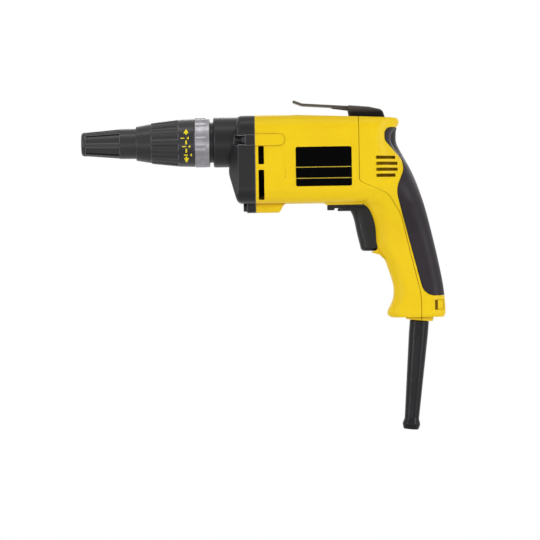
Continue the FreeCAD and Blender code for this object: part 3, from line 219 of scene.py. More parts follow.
floor_z = cad_box[0][2] - FLOOR_BELOW
half = FLOOR_SIZE / 2
floor_corners = ((-half, -half), (half, -half), (half, half), (-half, half))
floor_mesh = bpy.data.meshes.new("floor")
floor_mesh.from_pydata([(x, y, floor_z) for x, y in floor_corners], [], [(0, 1, 2, 3)])
floor_mesh.materials.append(paper_finish(floor_z))
floor = bpy.data.objects.new("floor", floor_mesh)
bpy.context.scene.collection.objects.link(floor)
white_world()
print("floor", FLOOR_BELOW, "m below the tool")

# %% [markdown]
# ## Lamps
# Black plastic has hardly a colour of its own: what shows its form are the reflections of lamps. Soft
# boxes give long, quiet ones. Two tall boxes stand left and right of the camera, so the round nose and
# handle get a streak on each side, and flat ones above, below and behind draw the edges.

# %% Lamps
# Name, place, point aimed at, width and height in metres, and watts.
LAMPS = [
    ("front_box", (0.0, -2.0, 0.6), (0.15, 0, -0.06), 1.6, 1.4, 0.3),
    ("top_box", (0.15, -0.5, 1.15), (0.15, 0, -0.04), 1.3, 0.3, 3.7),
    ("right_box", (1.25, -0.6, 0.05), (0.2, 0, -0.08), 0.3, 0.9, 5.4),
    ("left_box", (-0.9, -0.75, 0.1), (0.1, 0, -0.06), 0.3, 0.9, 5.4),
    ("low_box", (0.1, -1.1, -0.3), (0.15, 0, -0.06), 1.4, 0.3, 2.2),
    ("back_box", (0.5, 1.5, 0.7), (0.15, 0, -0.06), 1.4, 0.8, 11),
]

for name, place, aim, width, height, watts in LAMPS:
    lamp_data = bpy.data.lights.new(name, "AREA")
    lamp_data.shape = "RECTANGLE"
    lamp_data.size = width
    lamp_data.size_y = height
    lamp_data.energy = watts
    lamp = bpy.data.objects.new(name, lamp_data)
    lamp.location = place
    lamp.rotation_euler = (Vector(aim) - Vector(place)).to_track_quat("-Z", "Y").to_euler()
    bpy.context.scene.collection.objects.link(lamp)
    print(name, width, "by", height, "m,", watts, "W")

# %% [markdown]
# ## What every finish has
# No moulding is one flat colour. Its tone drifts a little over a few centimetres; painted shade darkens
# its hollows, and a painted highlight pales its edges. Painted textures would need an unwrapped mesh;
# noise in Object coordinates needs none, and ambient occlusion finds hollows and, turned inside out,
# edges. A fine bevel in the shading rounds the edges, because no moulded or cut edge is razor sharp.

# %% What every finish has
# Nearly all of a noise lies in its span. The other two spans say how open a spot is, from shut to clear,
# before it stops taking painted shade as a hollow or a painted highlight as an edge.
NOISE_SPAN = {"From Min": 0.3, "From Max": 0.7}
HOLLOW_SHADE_REACH = 3.0
HOLLOW_SHADE_SPAN = {"From Min": 0.4, "From Max": 0.92}
HIGHLIGHT_SPAN = {"From Min": 0.55, "From Max": 0.92, "To Min": 1.0, "To Max": 0.0}
CLOUD_DETAIL = 2.0
GRAIN_DETAIL = 3.0
FINE_DETAIL = 4.0
HOLLOW_SAMPLES = 8
BEVEL_SAMPLES = 6
BLACK = "#000000"


def surface(name):
    """A new material, its tree, its shader, and its Object coordinates."""
    material = bpy.data.materials.new(name)
    material.use_nodes = True
    tree = material.node_tree
    spot = add(tree, "ShaderNodeTexCoord").outputs["Object"]
    return material, tree, tree.nodes["Principled BSDF"], spot


def mottled(tree, spot, patch_mm, detail, tone, shade):
    """Colour that drifts between two tones in patches of a real size, and the drift itself."""
    cloud = add(tree, "ShaderNodeTexNoise", {"Vector": spot, "Scale": per_mm(patch_mm), "Detail": detail})
    drift = add(tree, "ShaderNodeMapRange", {"Value": cloud.outputs["Fac"], **NOISE_SPAN}).outputs[0]
    mix = add(tree, "ShaderNodeMix", {"Factor": drift, "A": linear(tone), "B": linear(shade)},
              data_type="RGBA")
    return mix.outputs["Result"], drift


def shade_and_highlight(tree, colour, hollow_shade, edge_highlight, highlight_mm):
    """Paints shade into a colour in its hollows and, where asked, a painted highlight along its edges."""
    # Painted shade: the colour turns towards the hollow colour where little open space is around.
    sunk = add(tree, "ShaderNodeAmbientOcclusion", {"Distance": HOLLOW_SHADE_REACH * MM}, samples=HOLLOW_SAMPLES,
               only_local=True)
    clear = add(tree, "ShaderNodeMapRange", {"Value": sunk.outputs["AO"], **HOLLOW_SHADE_SPAN})
    shaded = add(tree, "ShaderNodeMix", {"Factor": clear.outputs[0], "A": linear(hollow_shade), "B": colour},
                data_type="RGBA").outputs["Result"]
    if edge_highlight is None:
        return shaded
    # Painted highlight: the colour turns pale along edges, found by ambient occlusion turned inside out.
    edge = add(tree, "ShaderNodeAmbientOcclusion", {"Distance": highlight_mm * MM}, samples=HOLLOW_SAMPLES,
               inside=True, only_local=True)
    thin = add(tree, "ShaderNodeMapRange", {"Value": edge.outputs["AO"], **HIGHLIGHT_SPAN})
    return add(tree, "ShaderNodeMix", {"Factor": thin.outputs[0], "A": shaded, "B": linear(edge_highlight)},
               data_type="RGBA").outputs["Result"]


def relief(tree, source, height_mm, round_mm):
    """Normal of a fine relief of a real height, on edges rounded by a real radius."""
    rounded = add(tree, "ShaderNodeBevel", {"Radius": round_mm * MM}, samples=BEVEL_SAMPLES)
    return add(tree, "ShaderNodeBump", {
        "Height": source, "Distance": height_mm * MM, "Strength": 1.0,
        "Normal": rounded.outputs[0]}).outputs[0]


print("hollows darken within", HOLLOW_SHADE_REACH, "mm")

# %% [markdown]
# ## Moulded plastics
# The shells are glass-filled nylon, coloured right through. It comes out of a spark-eroded mould, which
# leaves an even satin skin. The real grain is about a tenth of a millimetre and too fine to show here,
# so it is drawn 0.4 to 0.9 mm wide. The same recipe serves the black mouldings, and the pressed carbon
# of the brushes: only colour, gloss and grain differ. All of them take painted shade in their hollows,
# the yellow a brown one; the nose and the collar also take a painted highlight along their edges.

# %% Moulded plastics
NYLON_IOR = 1.53
NYLON_CLOUD = 22
NYLON_ROUND = 0.35
NYLON_HIGHLIGHT = 0.8
NYLON_SATIN = (-0.05, 0.06)


def moulded(name, tone, shade, rough, grain_mm, grain_high, gloss=0.5, hollow_shade=BLACK, edge_highlight=None):
    """Moulded plastic: mottled right-through colour, satin skin, spark-eroded grain."""
    material, tree, shader, spot = surface(name)
    colour, _ = mottled(tree, spot, NYLON_CLOUD, CLOUD_DETAIL, tone, shade)
    grain = add(tree, "ShaderNodeTexNoise", {
        "Vector": spot, "Scale": per_mm(grain_mm), "Detail": GRAIN_DETAIL}).outputs["Fac"]
    satin = add(tree, "ShaderNodeMapRange", {
        "Value": grain, **NOISE_SPAN, "To Min": rough + NYLON_SATIN[0], "To Max": rough + NYLON_SATIN[1]})
    feed(tree, shader, {
        "Base Color": shade_and_highlight(tree, colour, hollow_shade, edge_highlight, NYLON_HIGHLIGHT),
        "Roughness": satin.outputs[0],
        "Specular IOR Level": gloss,
        "IOR": NYLON_IOR,
        "Normal": relief(tree, grain, grain_high, NYLON_ROUND)})
    return material


# The brown hollow colour is painted shade in the slots, seams and hollows of the yellow.
yellow_nylon = moulded("Glass-filled nylon, yellow", "#F1CD05", "#EEC703", rough=0.44, grain_mm=0.7,
                       grain_high=0.012, gloss=0.22, hollow_shade="#A87A02")
black_nylon = moulded("Glass-filled nylon, black", "#100D0C", "#0D0A0A", rough=0.32, grain_mm=0.6,
                      grain_high=0.014, gloss=0.26)
# The pale edge colours of the charcoal and dark grey nylon are painted highlights.
collar_nylon = moulded("Glass-filled nylon, charcoal", "#110D12", "#0E0B0F", rough=0.34, grain_mm=0.6,
                       grain_high=0.014, gloss=0.44, edge_highlight="#756E77")
grey_nylon = moulded("Glass-filled nylon, dark grey", "#120E13", "#0F0C10", rough=0.34, grain_mm=0.6,
                     grain_high=0.014, gloss=0.46, edge_highlight="#625C65")
# Darker and duller than the other black nylon: the parts seen through the vents also stand as painted
# shade.
vent_shade_nylon = moulded("Nylon, matt black", "#050505", "#040404", rough=0.7, grain_mm=0.9,
                     grain_high=0.006, gloss=0.05)
switch_nylon = moulded("Nylon, smooth black", "#0D0C0D", "#0A090A", rough=0.34, grain_mm=0.9,
                       grain_high=0.006, gloss=0.3)
carbon = moulded("Pressed carbon", "#2A2A2B", "#232324", rough=0.55, grain_mm=0.4, grain_high=0.02)
print("moulded:", yellow_nylon.name, black_nylon.name, collar_nylon.name, grey_nylon.name)

# %% [markdown]
# ## Rubber and PVC
# The grip is a soft rubber skin over the handle: matt, slightly dusty looking, with fine pores. The
# cord protector is a smoother compound and shows a longer, softer streak of light. Cells of a Voronoi
# texture dent the skin like pores; they are drawn about a millimetre wide, coarser than real ones, so
# that they show.

# %% Rubber and PVC
RUBBER_IOR = 1.52
RUBBER_BLOOM = 16
RUBBER_ROUND = 0.6
RUBBER_DULL = (-0.04, 0.05)


def rubber(name, tone, shade, rough, pore_mm, pore_high, gloss):
    """Moulded rubber: dull skin, fine pores, a faint bloom that pales it here and there."""
    material, tree, shader, spot = surface(name)
    colour, bloom = mottled(tree, spot, RUBBER_BLOOM, FINE_DETAIL, tone, shade)
    dull = add(tree, "ShaderNodeMapRange", {
        "Value": bloom, "To Min": rough + RUBBER_DULL[0], "To Max": rough + RUBBER_DULL[1]})
    pores = add(tree, "ShaderNodeTexVoronoi", {"Vector": spot, "Scale": per_mm(pore_mm)})
    feed(tree, shader, {
        "Base Color": colour,
        "Roughness": dull.outputs[0],
        "Specular IOR Level": gloss,
        "IOR": RUBBER_IOR,
        "Normal": relief(tree, pores.outputs["Distance"], pore_high, RUBBER_ROUND)})
    return material


grip_rubber = rubber("Moulded grip rubber", "#292329", "#252025", rough=0.46, pore_mm=0.8,
                     pore_high=0.02, gloss=0.18)
boot_rubber = rubber("Moulded PVC sleeve", "#110E13", "#0E0C10", rough=0.32, pore_mm=1.2,
                     pore_high=0.008, gloss=0.2)
print("rubber:", grip_rubber.name, boot_rubber.name)

# %% [markdown]
# ## Coated castings and sheet
# The gear case is a light-alloy casting under a black coat: the coat pools a little, so it shows the
# sand-like skin of the casting softly. The belt clip is sprung sheet under the same kind of coat, with a
# painted highlight that pales it towards its top, as light from above would. The case, clip and screws
# take a painted highlight along their edges and painted shade in their hollows. The screws are
# blackened. The skin is drawn 0.5 to 0.9 mm wide, a little coarser than a real coat, to show.

# %% Coated castings and sheet
COAT_CLOUD = 14
COAT_ROUND = 0.7
COAT_HIGHLIGHT = 1.0
COAT_SATIN = 0.06
CLIP_TOP_HIGHLIGHT = (22.0, 28.0)


def coated(name, tone, shade, rough, skin_mm, skin_high, gloss, edge_highlight, top_highlight=None):
    """Black coat over metal, with the orange-peel skin that a sprayed coat dries to."""
    material, tree, shader, spot = surface(name)
    colour, _ = mottled(tree, spot, COAT_CLOUD, CLOUD_DETAIL, tone, shade)
    # Painted highlight: the colour pales towards the top of the clip, where light from above falls.
    if top_highlight is not None:
        height = add(tree, "ShaderNodeSeparateXYZ", {0: spot}).outputs["Z"]
        lit_top = add(tree, "ShaderNodeMapRange", {
            "Value": height, "From Min": CLIP_TOP_HIGHLIGHT[0] * MM, "From Max": CLIP_TOP_HIGHLIGHT[1] * MM})
        colour = add(tree, "ShaderNodeMix", {"Factor": lit_top.outputs[0], "A": colour, "B": linear(top_highlight)},
                     data_type="RGBA").outputs["Result"]
    skin = add(tree, "ShaderNodeTexNoise", {
        "Vector": spot, "Scale": per_mm(skin_mm), "Detail": FINE_DETAIL}).outputs["Fac"]
    satin = add(tree, "ShaderNodeMapRange", {
        "Value": skin, **NOISE_SPAN, "To Min": rough - COAT_SATIN, "To Max": rough + COAT_SATIN})
    feed(tree, shader, {
        "Base Color": shade_and_highlight(tree, colour, BLACK, edge_highlight, COAT_HIGHLIGHT),
        "Roughness": satin.outputs[0],
        "Specular IOR Level": gloss,
        "Normal": relief(tree, skin, skin_high, COAT_ROUND)})
    return material


# The pale edge colours are painted highlights; the clip's last colour is its painted top highlight.
case_coat = coated("Coated alloy casting", "#0E0B0F", "#0B090C", rough=0.38, skin_mm=0.9,
                   skin_high=0.02, gloss=0.34, edge_highlight="#625D64")
clip_coat = coated("Coated spring sheet", "#050404", "#040303", rough=0.36, skin_mm=0.7,
                   skin_high=0.01, gloss=0.14, edge_highlight="#5A5550", top_highlight="#5A5450")
screw_black = coated("Blackened steel", "#161516", "#232123", rough=0.34, skin_mm=0.5,
                     skin_high=0.006, gloss=0.3, edge_highlight="#4A484A")
print("coated:", case_coat.name, clip_coat.name, screw_black.name)

# %% [markdown]
# ## Bare metals
# Turned parts carry fine rings from the lathe. Their lines run round the spindle axis, so noise that
# reads the X coordinate alone draws them. The pale ring is plated and then brushed the same way. Inner
# steel, bronze, copper and laminated core share the recipe with their own colour, gloss and spacing.
# Real tool lines are about a tenth of a millimetre apart; here they are two to six times as coarse.

# %% Bare metals
METAL_STAIN = 6
METAL_ROUND = 0.25
METAL_BRUSHED = 0.08


def turned_metal(name, tone, shade, rough, line_mm, line_high):
    """Metal with tool lines round the X axis, uneven like a real cut."""
    material, tree, shader, spot = surface(name)
    colour, _ = mottled(tree, spot, METAL_STAIN, CLOUD_DETAIL, tone, shade)
    split = add(tree, "ShaderNodeSeparateXYZ", {0: spot})
    along = add(tree, "ShaderNodeCombineXYZ", {"X": split.outputs["X"]})
    lines = add(tree, "ShaderNodeTexNoise", {
        "Vector": along.outputs[0], "Scale": per_mm(line_mm), "Detail": GRAIN_DETAIL}).outputs["Fac"]
    brushed = add(tree, "ShaderNodeMapRange", {
        "Value": lines, **NOISE_SPAN, "To Min": rough - METAL_BRUSHED, "To Max": rough + METAL_BRUSHED})
    feed(tree, shader, {
        "Base Color": colour,
        "Roughness": brushed.outputs[0],
        "Metallic": 1.0,
        "Normal": relief(tree, lines, line_high, METAL_ROUND)})
    return material


ring_metal = turned_metal("Satin plated ring", "#9C999E", "#88858A", rough=0.36, line_mm=0.25,
                          line_high=0.004)
ground_steel = turned_metal("Ground steel", "#9A9894", "#8C8A87", rough=0.28, line_mm=0.3,
                            line_high=0.003)
dark_steel = turned_metal("Oiled tool steel", "#5E5C5B", "#52504F", rough=0.32, line_mm=0.3,
                          line_high=0.003)
core_steel = turned_metal("Laminated core steel", "#6B6C70", "#5B5C60", rough=0.5, line_mm=0.5,
                          line_high=0.02)
plain_alloy = turned_metal("Machined alloy", "#4C4C4E", "#434345", rough=0.46, line_mm=0.3,
                           line_high=0.004)
sinter_bronze = turned_metal("Sintered bronze", "#A87B45", "#94693A", rough=0.46, line_mm=0.4,
                             line_high=0.006)
copper = turned_metal("Enamelled copper wire", "#9C4A22", "#8A3E1B", rough=0.35, line_mm=0.6,
                      line_high=0.05)
print("metals:", ring_metal.name, ground_steel.name, copper.name)

# %% [markdown]
# ## Folded triangles
# On the flat sides of the housing a few thin triangles of the mesh lie folded over, face inwards, and
# would show as a dark streak. The mesh of the frame stays as it is; a small geometry tree on the
# housing leaves those faces out. They are known by lying far from the middle plane and looking back
# towards it. It stands before the modifier that evens the normals, so it is added first.

# %% Folded triangles
FLAT_SIDE = 33.5
FACING_IN = -0.9


def folds_tree():
    """Tree that leaves out faces far from the middle plane that look back towards it."""
    tree = bpy.data.node_groups.new("leave_out_folds", "GeometryNodeTree")
    group_input(tree, "Geometry", "NodeSocketGeometry")
    names = {name: group_input(tree, name) for name in ("Flat Side", "Facing In")}
    tree.interface.new_socket(name="Geometry", in_out="OUTPUT", socket_type="NodeSocketGeometry")
    given = add(tree, "NodeGroupInput").outputs
    place = add(tree, "GeometryNodeInputPosition").outputs[0]
    normal = add(tree, "GeometryNodeInputNormal").outputs["True Normal"]
    across = add(tree, "ShaderNodeSeparateXYZ", {0: place}).outputs["Y"]
    facing = add(tree, "ShaderNodeSeparateXYZ", {0: normal}).outputs["Y"]
    side = add(tree, "ShaderNodeMath", {0: across}, operation="SIGN").outputs[0]
    away = add(tree, "ShaderNodeMath", {0: across}, operation="ABSOLUTE").outputs[0]
    outward = add(tree, "ShaderNodeMath", {0: side, 1: facing}, operation="MULTIPLY").outputs[0]
    far_out = add(tree, "ShaderNodeMath", {0: away, 1: given["Flat Side"]},
                  operation="GREATER_THAN").outputs[0]
    turned_in = add(tree, "ShaderNodeMath", {0: outward, 1: given["Facing In"]},
                    operation="LESS_THAN").outputs[0]
    folded = add(tree, "ShaderNodeMath", {0: far_out, 1: turned_in}, operation="MULTIPLY").outputs[0]
    kept = add(tree, "GeometryNodeDeleteGeometry", {"Geometry": given["Geometry"], "Selection": folded},
               domain="FACE", mode="ONLY_FACE")
    add(tree, "NodeGroupOutput", {0: kept.outputs[0]})
    return tree, names


folds, fold_socket = folds_tree()
cleaner = nodes["motor_housing"].modifiers.new("leave_out_folds", "NODES")
cleaner.node_group = folds
cleaner[fold_socket["Flat Side"]] = FLAT_SIDE * MM
cleaner[fold_socket["Facing In"]] = FACING_IN
print("folds left out beyond", FLAT_SIDE, "mm from the middle plane")

# %% [markdown]
# ## Dress the frame
# Each piece of the frame takes the finish of what it is made of on the real tool. Where faces of a
# moulding meet at a very flat angle, thin triangles can bring stray normals, which show as dark
# streaks, so every piece also gets normals weighted by the size of its faces.

# %% Dress the frame
FINISHES = [
    (yellow_nylon, ["motor_housing", "handle_cover"]),
    (black_nylon, ["trigger", "brush_holders", "cord_clamp"]),
    (vent_shade_nylon, ["fan_baffle", "cooling_fan"]),
    (collar_nylon, ["depth_collar"]),
    (grey_nylon, ["nose_cone"]),
    (switch_nylon, ["reversing_lever", "switch_body"]),
    (grip_rubber, ["rear_grip"]),
    (boot_rubber, ["cord_protector"]),
    (case_coat, ["gear_case"]),
    (clip_coat, ["belt_clip"]),
    (screw_black, ["gear_case_screws", "belt_clip_screws"]),
    (ring_metal, ["locating_ring"]),
    (ground_steel, ["front_bearing", "rear_bearing", "armature_shaft", "thrust_washer", "clutch_spring",
                    "brush_springs", "retaining_ring", "cord_clamp_screws"]),
    (dark_steel, ["driver_bit", "bit_holder", "spindle", "clutch_gear"]),
    (core_steel, ["armature_core", "field_core"]),
    (plain_alloy, ["bearing_plate"]),
    (sinter_bronze, ["spindle_bush", "gear_bush"]),
    (copper, ["armature_windings", "field_coils", "commutator"]),
    (carbon, ["carbon_brushes"]),
]

for finish, members in FINISHES:
    for member in members:
        mesh = nodes[member].data
        mesh.materials.clear()
        mesh.materials.append(finish)
        even = nodes[member].modifiers.new("even_normals", "WEIGHTED_NORMAL")
        even.mode = "FACE_AREA"
        even.keep_sharp = True
dressed = [member for _, members in FINISHES for member in members]
print(len(dressed), "pieces dressed, left bare:", sorted(set(nodes) - set(dressed)))

# %% [markdown]
# ## The spring that is pressed
# The clutch spring shortens as the bit is pushed in. A solid of the frame is rigid and would cut into
# the washer, so a merged copy of it stands for it.

# %% The clutch spring
MERGE = 0.001

coil = bmesh.new()
coil.from_mesh(nodes["clutch_spring"].data)
bmesh.ops.remove_doubles(coil, verts=coil.verts, dist=MERGE * MM)
bmesh.ops.recalc_face_normals(coil, faces=coil.faces)
for face in coil.faces:
    face.smooth = True
pressed_spring = piece("pressed_spring", coil, ground_steel)
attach(pressed_spring, "drive_gear")
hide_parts("clutch_spring")
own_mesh(pressed_spring)

# %% [markdown]
# ## The plate
# A thin sheet plate lies in its bed on the left side, a hair below the shell around it: black stoved
# enamel, deep and even, with two fine yellow rules. The sheet is an outline pushed up to its thickness,
# with a fine bevel round its rim. The rules are ink, a fiftieth of a millimetre high, which is too thin
# for a mesh of its own, so the shader draws them.

# %% The plate
PLATE_X = (174.6, 220.0)
PLATE_Z = (-37.7, -5.7)
PLATE_Y = (-32.61, -32.92)
PLATE_CORNER = 1.6
PLATE_PLAY = 0.12
PLATE_BEVEL = 0.1
RULES_Z = (-22.2, -31.2)
RULE_WIDTH = 0.65
RULE_HIGH = 0.02
ENAMEL_WIPES = 5
ENAMEL_GLOSS = 0.02
ENAMEL_ROUGH = (0.2, 0.32)


def rounded_outline(x0, x1, z0, z1, radius, steps=8):
    """Points of a rounded rectangle, starting at the right of its upper right corner."""
    points = []
    for cx, cz, first in ((x1 - radius, z1 - radius, 0), (x0 + radius, z1 - radius, 90),
                          (x0 + radius, z0 + radius, 180), (x1 - radius, z0 + radius, 270)):
        for k in range(steps + 1):
            turn = math.radians(first + 90 * k / steps)
            points.append((cx + radius * math.cos(turn), cz + radius * math.sin(turn)))
    return points


def rules(tree, spot):
    """One on the thin level rules, nought between them."""
    height = add(tree, "ShaderNodeSeparateXYZ", {0: spot}).outputs["Z"]
    lines = []
    for z in RULES_Z:
        off = add(tree, "ShaderNodeMath", {0: height, 1: z * MM}, operation="SUBTRACT")
        size = add(tree, "ShaderNodeMath", {0: off.outputs[0]}, operation="ABSOLUTE")
        lines.append(add(tree, "ShaderNodeMath", {0: size.outputs[0], 1: RULE_WIDTH * MM / 2},
                         operation="LESS_THAN").outputs[0])
    return add(tree, "ShaderNodeMath", {0: lines[0], 1: lines[1]}, operation="MAXIMUM").outputs[0]


def enamel(name, tone, ink):
    """Stoved enamel on sheet, with printed rules and faint wipe marks in the gloss."""
    material, tree, shader, spot = surface(name)
    printed = rules(tree, spot)
    colour = add(tree, "ShaderNodeMix", {"Factor": printed, "A": linear(tone), "B": linear(ink)},
                 data_type="RGBA")
    wipes = add(tree, "ShaderNodeTexNoise", {
        "Vector": spot, "Scale": per_mm(ENAMEL_WIPES), "Detail": GRAIN_DETAIL}).outputs["Fac"]
    sheen = add(tree, "ShaderNodeMapRange", {
        "Value": wipes, **NOISE_SPAN, "To Min": ENAMEL_ROUGH[0], "To Max": ENAMEL_ROUGH[1]})
    feed(tree, shader, {
        "Base Color": colour.outputs["Result"],
        "Roughness": sheen.outputs[0],
        "Specular IOR Level": ENAMEL_GLOSS,
        "Normal": relief(tree, printed, RULE_HIGH, PLATE_BEVEL)})
    return material


plate_enamel = enamel("Black enamelled sheet", "#030304", "#BFA63A")
sheet = bmesh.new()
outline = rounded_outline(PLATE_X[0] + PLATE_PLAY, PLATE_X[1] - PLATE_PLAY, PLATE_Z[0] + PLATE_PLAY,
                          PLATE_Z[1] - PLATE_PLAY, PLATE_CORNER)
bottom = sheet.faces.new([sheet.verts.new((x * MM, PLATE_Y[0] * MM, z * MM)) for x, z in outline])
lifted = bmesh.ops.extrude_face_region(sheet, geom=[bottom])["geom"]
raised = [item for item in lifted if isinstance(item, bmesh.types.BMVert)]
bmesh.ops.translate(sheet, verts=raised, vec=(0, (PLATE_Y[1] - PLATE_Y[0]) * MM, 0))
rim = [edge for edge in sheet.edges if all(vert in raised for vert in edge.verts)]
bmesh.ops.bevel(sheet, geom=rim, offset=PLATE_BEVEL * MM, segments=2, affect="EDGES", profile=0.5)
bmesh.ops.recalc_face_normals(sheet, faces=sheet.faces)
name_plate = piece("name_plate", sheet, plate_enamel)
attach(name_plate, "housing")
print("plate", len(name_plate.data.polygons), "faces")

# %% [markdown]
# ## Air guide
# The fan throws its air out through the slots behind the gear case. A ring round the fan's tips guides
# it and closes the view past them. The fan, its baffle and the ring are real parts, but in a darker,
# duller black than the other mouldings they also stand as painted shade inside the vents. A profile
# turned round the motor axis makes it: Blender's spin does the turning, then doubles at the seam are
# merged and the faces turned outwards.

# %% Air guide
GUIDE_X = (144.5, 152.0)
GUIDE_R = (27.1, 29.3)
GUIDE_STEPS = 96

fan_low, fan_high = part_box("cooling_fan")
motor_axis = Vector((0, (fan_low[1] + fan_high[1]) / 2, (fan_low[2] + fan_high[2]) / 2))
profile = [(GUIDE_X[0], GUIDE_R[0]), (GUIDE_X[1], GUIDE_R[0]),
           (GUIDE_X[1], GUIDE_R[1]), (GUIDE_X[0], GUIDE_R[1])]
ring = bmesh.new()
corners = [ring.verts.new(motor_axis + Vector((x, 0, r)) * MM) for x, r in profile]
edges = [ring.edges.new((corners[k], corners[(k + 1) % 4])) for k in range(4)]
bmesh.ops.spin(ring, geom=corners + edges, cent=motor_axis, axis=(1, 0, 0), angle=2 * math.pi,
               steps=GUIDE_STEPS, use_merge=True)
bmesh.ops.remove_doubles(ring, verts=ring.verts, dist=MERGE * MM)
bmesh.ops.recalc_face_normals(ring, faces=ring.faces)
air_guide = piece("air_guide", ring, vent_shade_nylon)
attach(air_guide, "housing")
print("air guide", len(air_guide.data.polygons), "faces, axis at", [round(c / MM, 1) for c in motor_axis])

# %% [markdown]
# ## Marks on the collar
# A double arrow with a slanting scale is printed round the smooth band of the collar. An image could
# carry it, but would need an unwrapped collar. Here a small geometry tree lays the marks out flat in
# front of the collar and throws them on to it by casting a ray from every point, so the print follows
# the round and would follow another radius too. The tree then gives it the thickness of a film of ink.

# %% The tree of the marks
MARKS = {"Column": 86.0, "Top": 11.0, "Foot": -16.6, "Head Width": 4.1, "Head Height": 3.8,
         "Bar Width": 1.25, "Dash Length": 3.1, "Stem Length": 1.3, "Scale Top": 3.2, "Scale Step": 6.8,
         "Tick Start": 83.1, "Tick Length": 3.2, "Tick Height": 0.8, "Tick Drift": 1.2,
         "Pointer Gap": 4.1, "Pointer Width": 2.6, "Pointer Height": 1.7, "Film": 0.06}
SCALE_TICKS = 3
MARK_POINTS = (5, 7)
STEM_LAP = 0.4
THROW_FROM = -60
THROW_REACH = 200
POINT_MERGE = 0.01


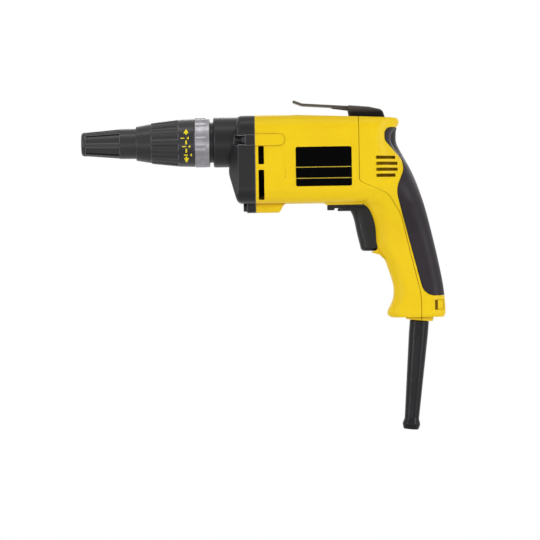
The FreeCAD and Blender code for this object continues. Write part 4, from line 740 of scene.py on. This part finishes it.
def marks_tree(ink):
    """Tree that lays out the flat marks, throws them on to a target and makes them a film."""
    tree = bpy.data.node_groups.new("collar_marks", "GeometryNodeTree")
    names = {"Target": group_input(tree, "Target", "NodeSocketObject")}
    for name in MARKS:
        names[name] = group_input(tree, name)
    tree.interface.new_socket(name="Geometry", in_out="OUTPUT", socket_type="NodeSocketGeometry")
    given = add(tree, "NodeGroupInput").outputs
    flat = add(tree, "GeometryNodeJoinGeometry")

    def mark(width, height, pointed=False):
        """A flat bar or, drawn in to a point at its top, an arrowhead."""
        bar = add(tree, "GeometryNodeMeshGrid", {
            "Vertices X": MARK_POINTS[0], "Vertices Y": MARK_POINTS[1],
            "Size X": given[width], "Size Y": given[height]})
        if not pointed:
            return bar.outputs["Mesh"]
        place = add(tree, "GeometryNodeInputPosition").outputs[0]
        at = add(tree, "ShaderNodeSeparateXYZ", {0: place}).outputs
        risen = add(tree, "ShaderNodeMath", {0: at["Y"], 1: given[height]}, operation="DIVIDE")
        taper = add(tree, "ShaderNodeMath", {0: 0.5, 1: risen.outputs[0]}, operation="SUBTRACT")
        narrow = add(tree, "ShaderNodeMath", {0: at["X"], 1: taper.outputs[0]}, operation="MULTIPLY")
        drawn = add(tree, "ShaderNodeCombineXYZ", {"X": narrow.outputs[0], "Y": at["Y"]})
        head = add(tree, "GeometryNodeSetPosition", {
            "Geometry": bar.outputs["Mesh"], "Position": drawn.outputs[0]})
        return add(tree, "GeometryNodeMergeByDistance", {
            "Geometry": head.outputs[0], "Distance": POINT_MERGE * MM}).outputs[0]

    def stand(shape, x, z, turn=0.0):
        """Stands a flat mark upright in front of the target, turned about the line of sight."""
        place = add(tree, "ShaderNodeCombineXYZ", {"X": x, "Y": THROW_FROM * MM, "Z": z})
        upright = add(tree, "GeometryNodeTransform", {
            "Geometry": shape, "Rotation": (math.pi / 2, turn, 0), "Translation": place.outputs[0]})
        tree.links.new(upright.outputs[0], flat.inputs[0])

    head = mark("Head Width", "Head Height", pointed=True)
    stem = mark("Bar Width", "Stem Length")
    stem_in = add(tree, "ShaderNodeMath", {0: given["Stem Length"], 1: STEM_LAP, 2: given["Head Height"]},
                  operation="MULTIPLY_ADD").outputs[0]
    for end, way, turn in (("Top", -1, 0.0), ("Foot", 1, math.pi)):
        head_z = add(tree, "ShaderNodeMath", {0: given["Head Height"], 1: way / 2, 2: given[end]},
                     operation="MULTIPLY_ADD")
        stem_z = add(tree, "ShaderNodeMath", {0: stem_in, 1: way, 2: given[end]}, operation="MULTIPLY_ADD")
        stand(head, given["Column"], head_z.outputs[0], turn)
        stand(stem, given["Column"], stem_z.outputs[0])

    dash = mark("Bar Width", "Dash Length")
    tick = mark("Tick Length", "Tick Height")
    pointer = mark("Pointer Width", "Pointer Height", pointed=True)
    for step in range(SCALE_TICKS):
        z = add(tree, "ShaderNodeMath", {0: given["Scale Step"], 1: -step, 2: given["Scale Top"]},
                operation="MULTIPLY_ADD").outputs[0]
        x = add(tree, "ShaderNodeMath", {0: given["Tick Drift"], 1: step, 2: given["Tick Start"]},
                operation="MULTIPLY_ADD").outputs[0]
        beside = add(tree, "ShaderNodeMath", {0: x, 1: given["Pointer Gap"]}, operation="ADD").outputs[0]
        stand(tick, x, z)
        stand(pointer, beside, z, -math.pi / 2)
        if step:
            between = add(tree, "ShaderNodeMath", {0: given["Scale Step"], 1: 0.5, 2: z},
                          operation="MULTIPLY_ADD")
            stand(dash, given["Column"], between.outputs[0])

    target = add(tree, "GeometryNodeObjectInfo", {"Object": given["Target"]})
    ray = add(tree, "GeometryNodeRaycast", {
        "Target Geometry": target.outputs["Geometry"], "Ray Direction": (0, 1, 0),
        "Ray Length": THROW_REACH * MM}).outputs
    thrown = add(tree, "GeometryNodeSetPosition", {
        "Geometry": flat.outputs[0], "Position": ray["Hit Position"],
        "Selection": ray["Is Hit"]}).outputs[0]
    film = add(tree, "GeometryNodeExtrudeMesh", {
        "Mesh": thrown, "Offset Scale": given["Film"], "Individual": False})
    under = add(tree, "GeometryNodeFlipFaces", {0: thrown})
    shell = add(tree, "GeometryNodeJoinGeometry")
    for skin in (film.outputs["Mesh"], under.outputs[0]):
        tree.links.new(skin, shell.inputs[0])
    closed = add(tree, "GeometryNodeMergeByDistance", {
        "Geometry": shell.outputs[0], "Distance": MERGE * MM})
    real = add(tree, "GeometryNodeRealizeInstances", {0: closed.outputs[0]})
    inked = add(tree, "GeometryNodeSetMaterial", {"Geometry": real.outputs[0], "Material": ink})
    add(tree, "NodeGroupOutput", {0: inked.outputs[0]})
    return tree, names


print(len(MARKS), "sizes set the marks")

# %% [markdown]
# ## Print the marks
# Screen-printed ink is flat and dull, a little uneven where it lies thin. An empty holder carries the
# tree, with the collar as its target. What it makes is then taken as a plain mesh, because the print
# has to ride with the collar like any other piece.

# %% Print the marks
INK_GRAIN = 0.5
INK_GLOSS = 0.2
INK_ROUGH = (0.45, 0.6)


def printed_ink(name, tone, shade):
    """Screen-printed ink: flat colour, a little uneven where it lies thin."""
    material, tree, shader, spot = surface(name)
    colour, thin = mottled(tree, spot, INK_GRAIN, CLOUD_DETAIL, tone, shade)
    dull = add(tree, "ShaderNodeMapRange", {
        "Value": thin, "To Min": INK_ROUGH[0], "To Max": INK_ROUGH[1]})
    feed(tree, shader, {
        "Base Color": colour,
        "Roughness": dull.outputs[0],
        "Specular IOR Level": INK_GLOSS})
    return material


yellow_ink = printed_ink("Yellow printed ink", "#F4E21C", "#E8D214")
holder = bpy.data.objects.new("marks_holder", bpy.data.meshes.new("marks_holder"))
bpy.context.scene.collection.objects.link(holder)
marks, mark_socket = marks_tree(yellow_ink)
maker = holder.modifiers.new("marks", "NODES")
maker.node_group = marks
maker[mark_socket["Target"]] = nodes["depth_collar"]
for label, size in MARKS.items():
    maker[mark_socket[label]] = size * MM
bpy.context.view_layer.update()
print_mesh = bpy.data.meshes.new_from_object(holder.evaluated_get(bpy.context.evaluated_depsgraph_get()))
bpy.data.objects.remove(holder)
print_mesh.name = "collar_marks"
print_mesh.materials.clear()
print_mesh.materials.append(yellow_ink)
print_mesh.polygons.foreach_set("material_index", [0] * len(print_mesh.polygons))
collar_marks = bpy.data.objects.new("collar_marks", print_mesh)
bpy.context.scene.collection.objects.link(collar_marks)
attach(collar_marks, "collar")
print("marks", len(print_mesh.polygons), "faces in", yellow_ink.name)
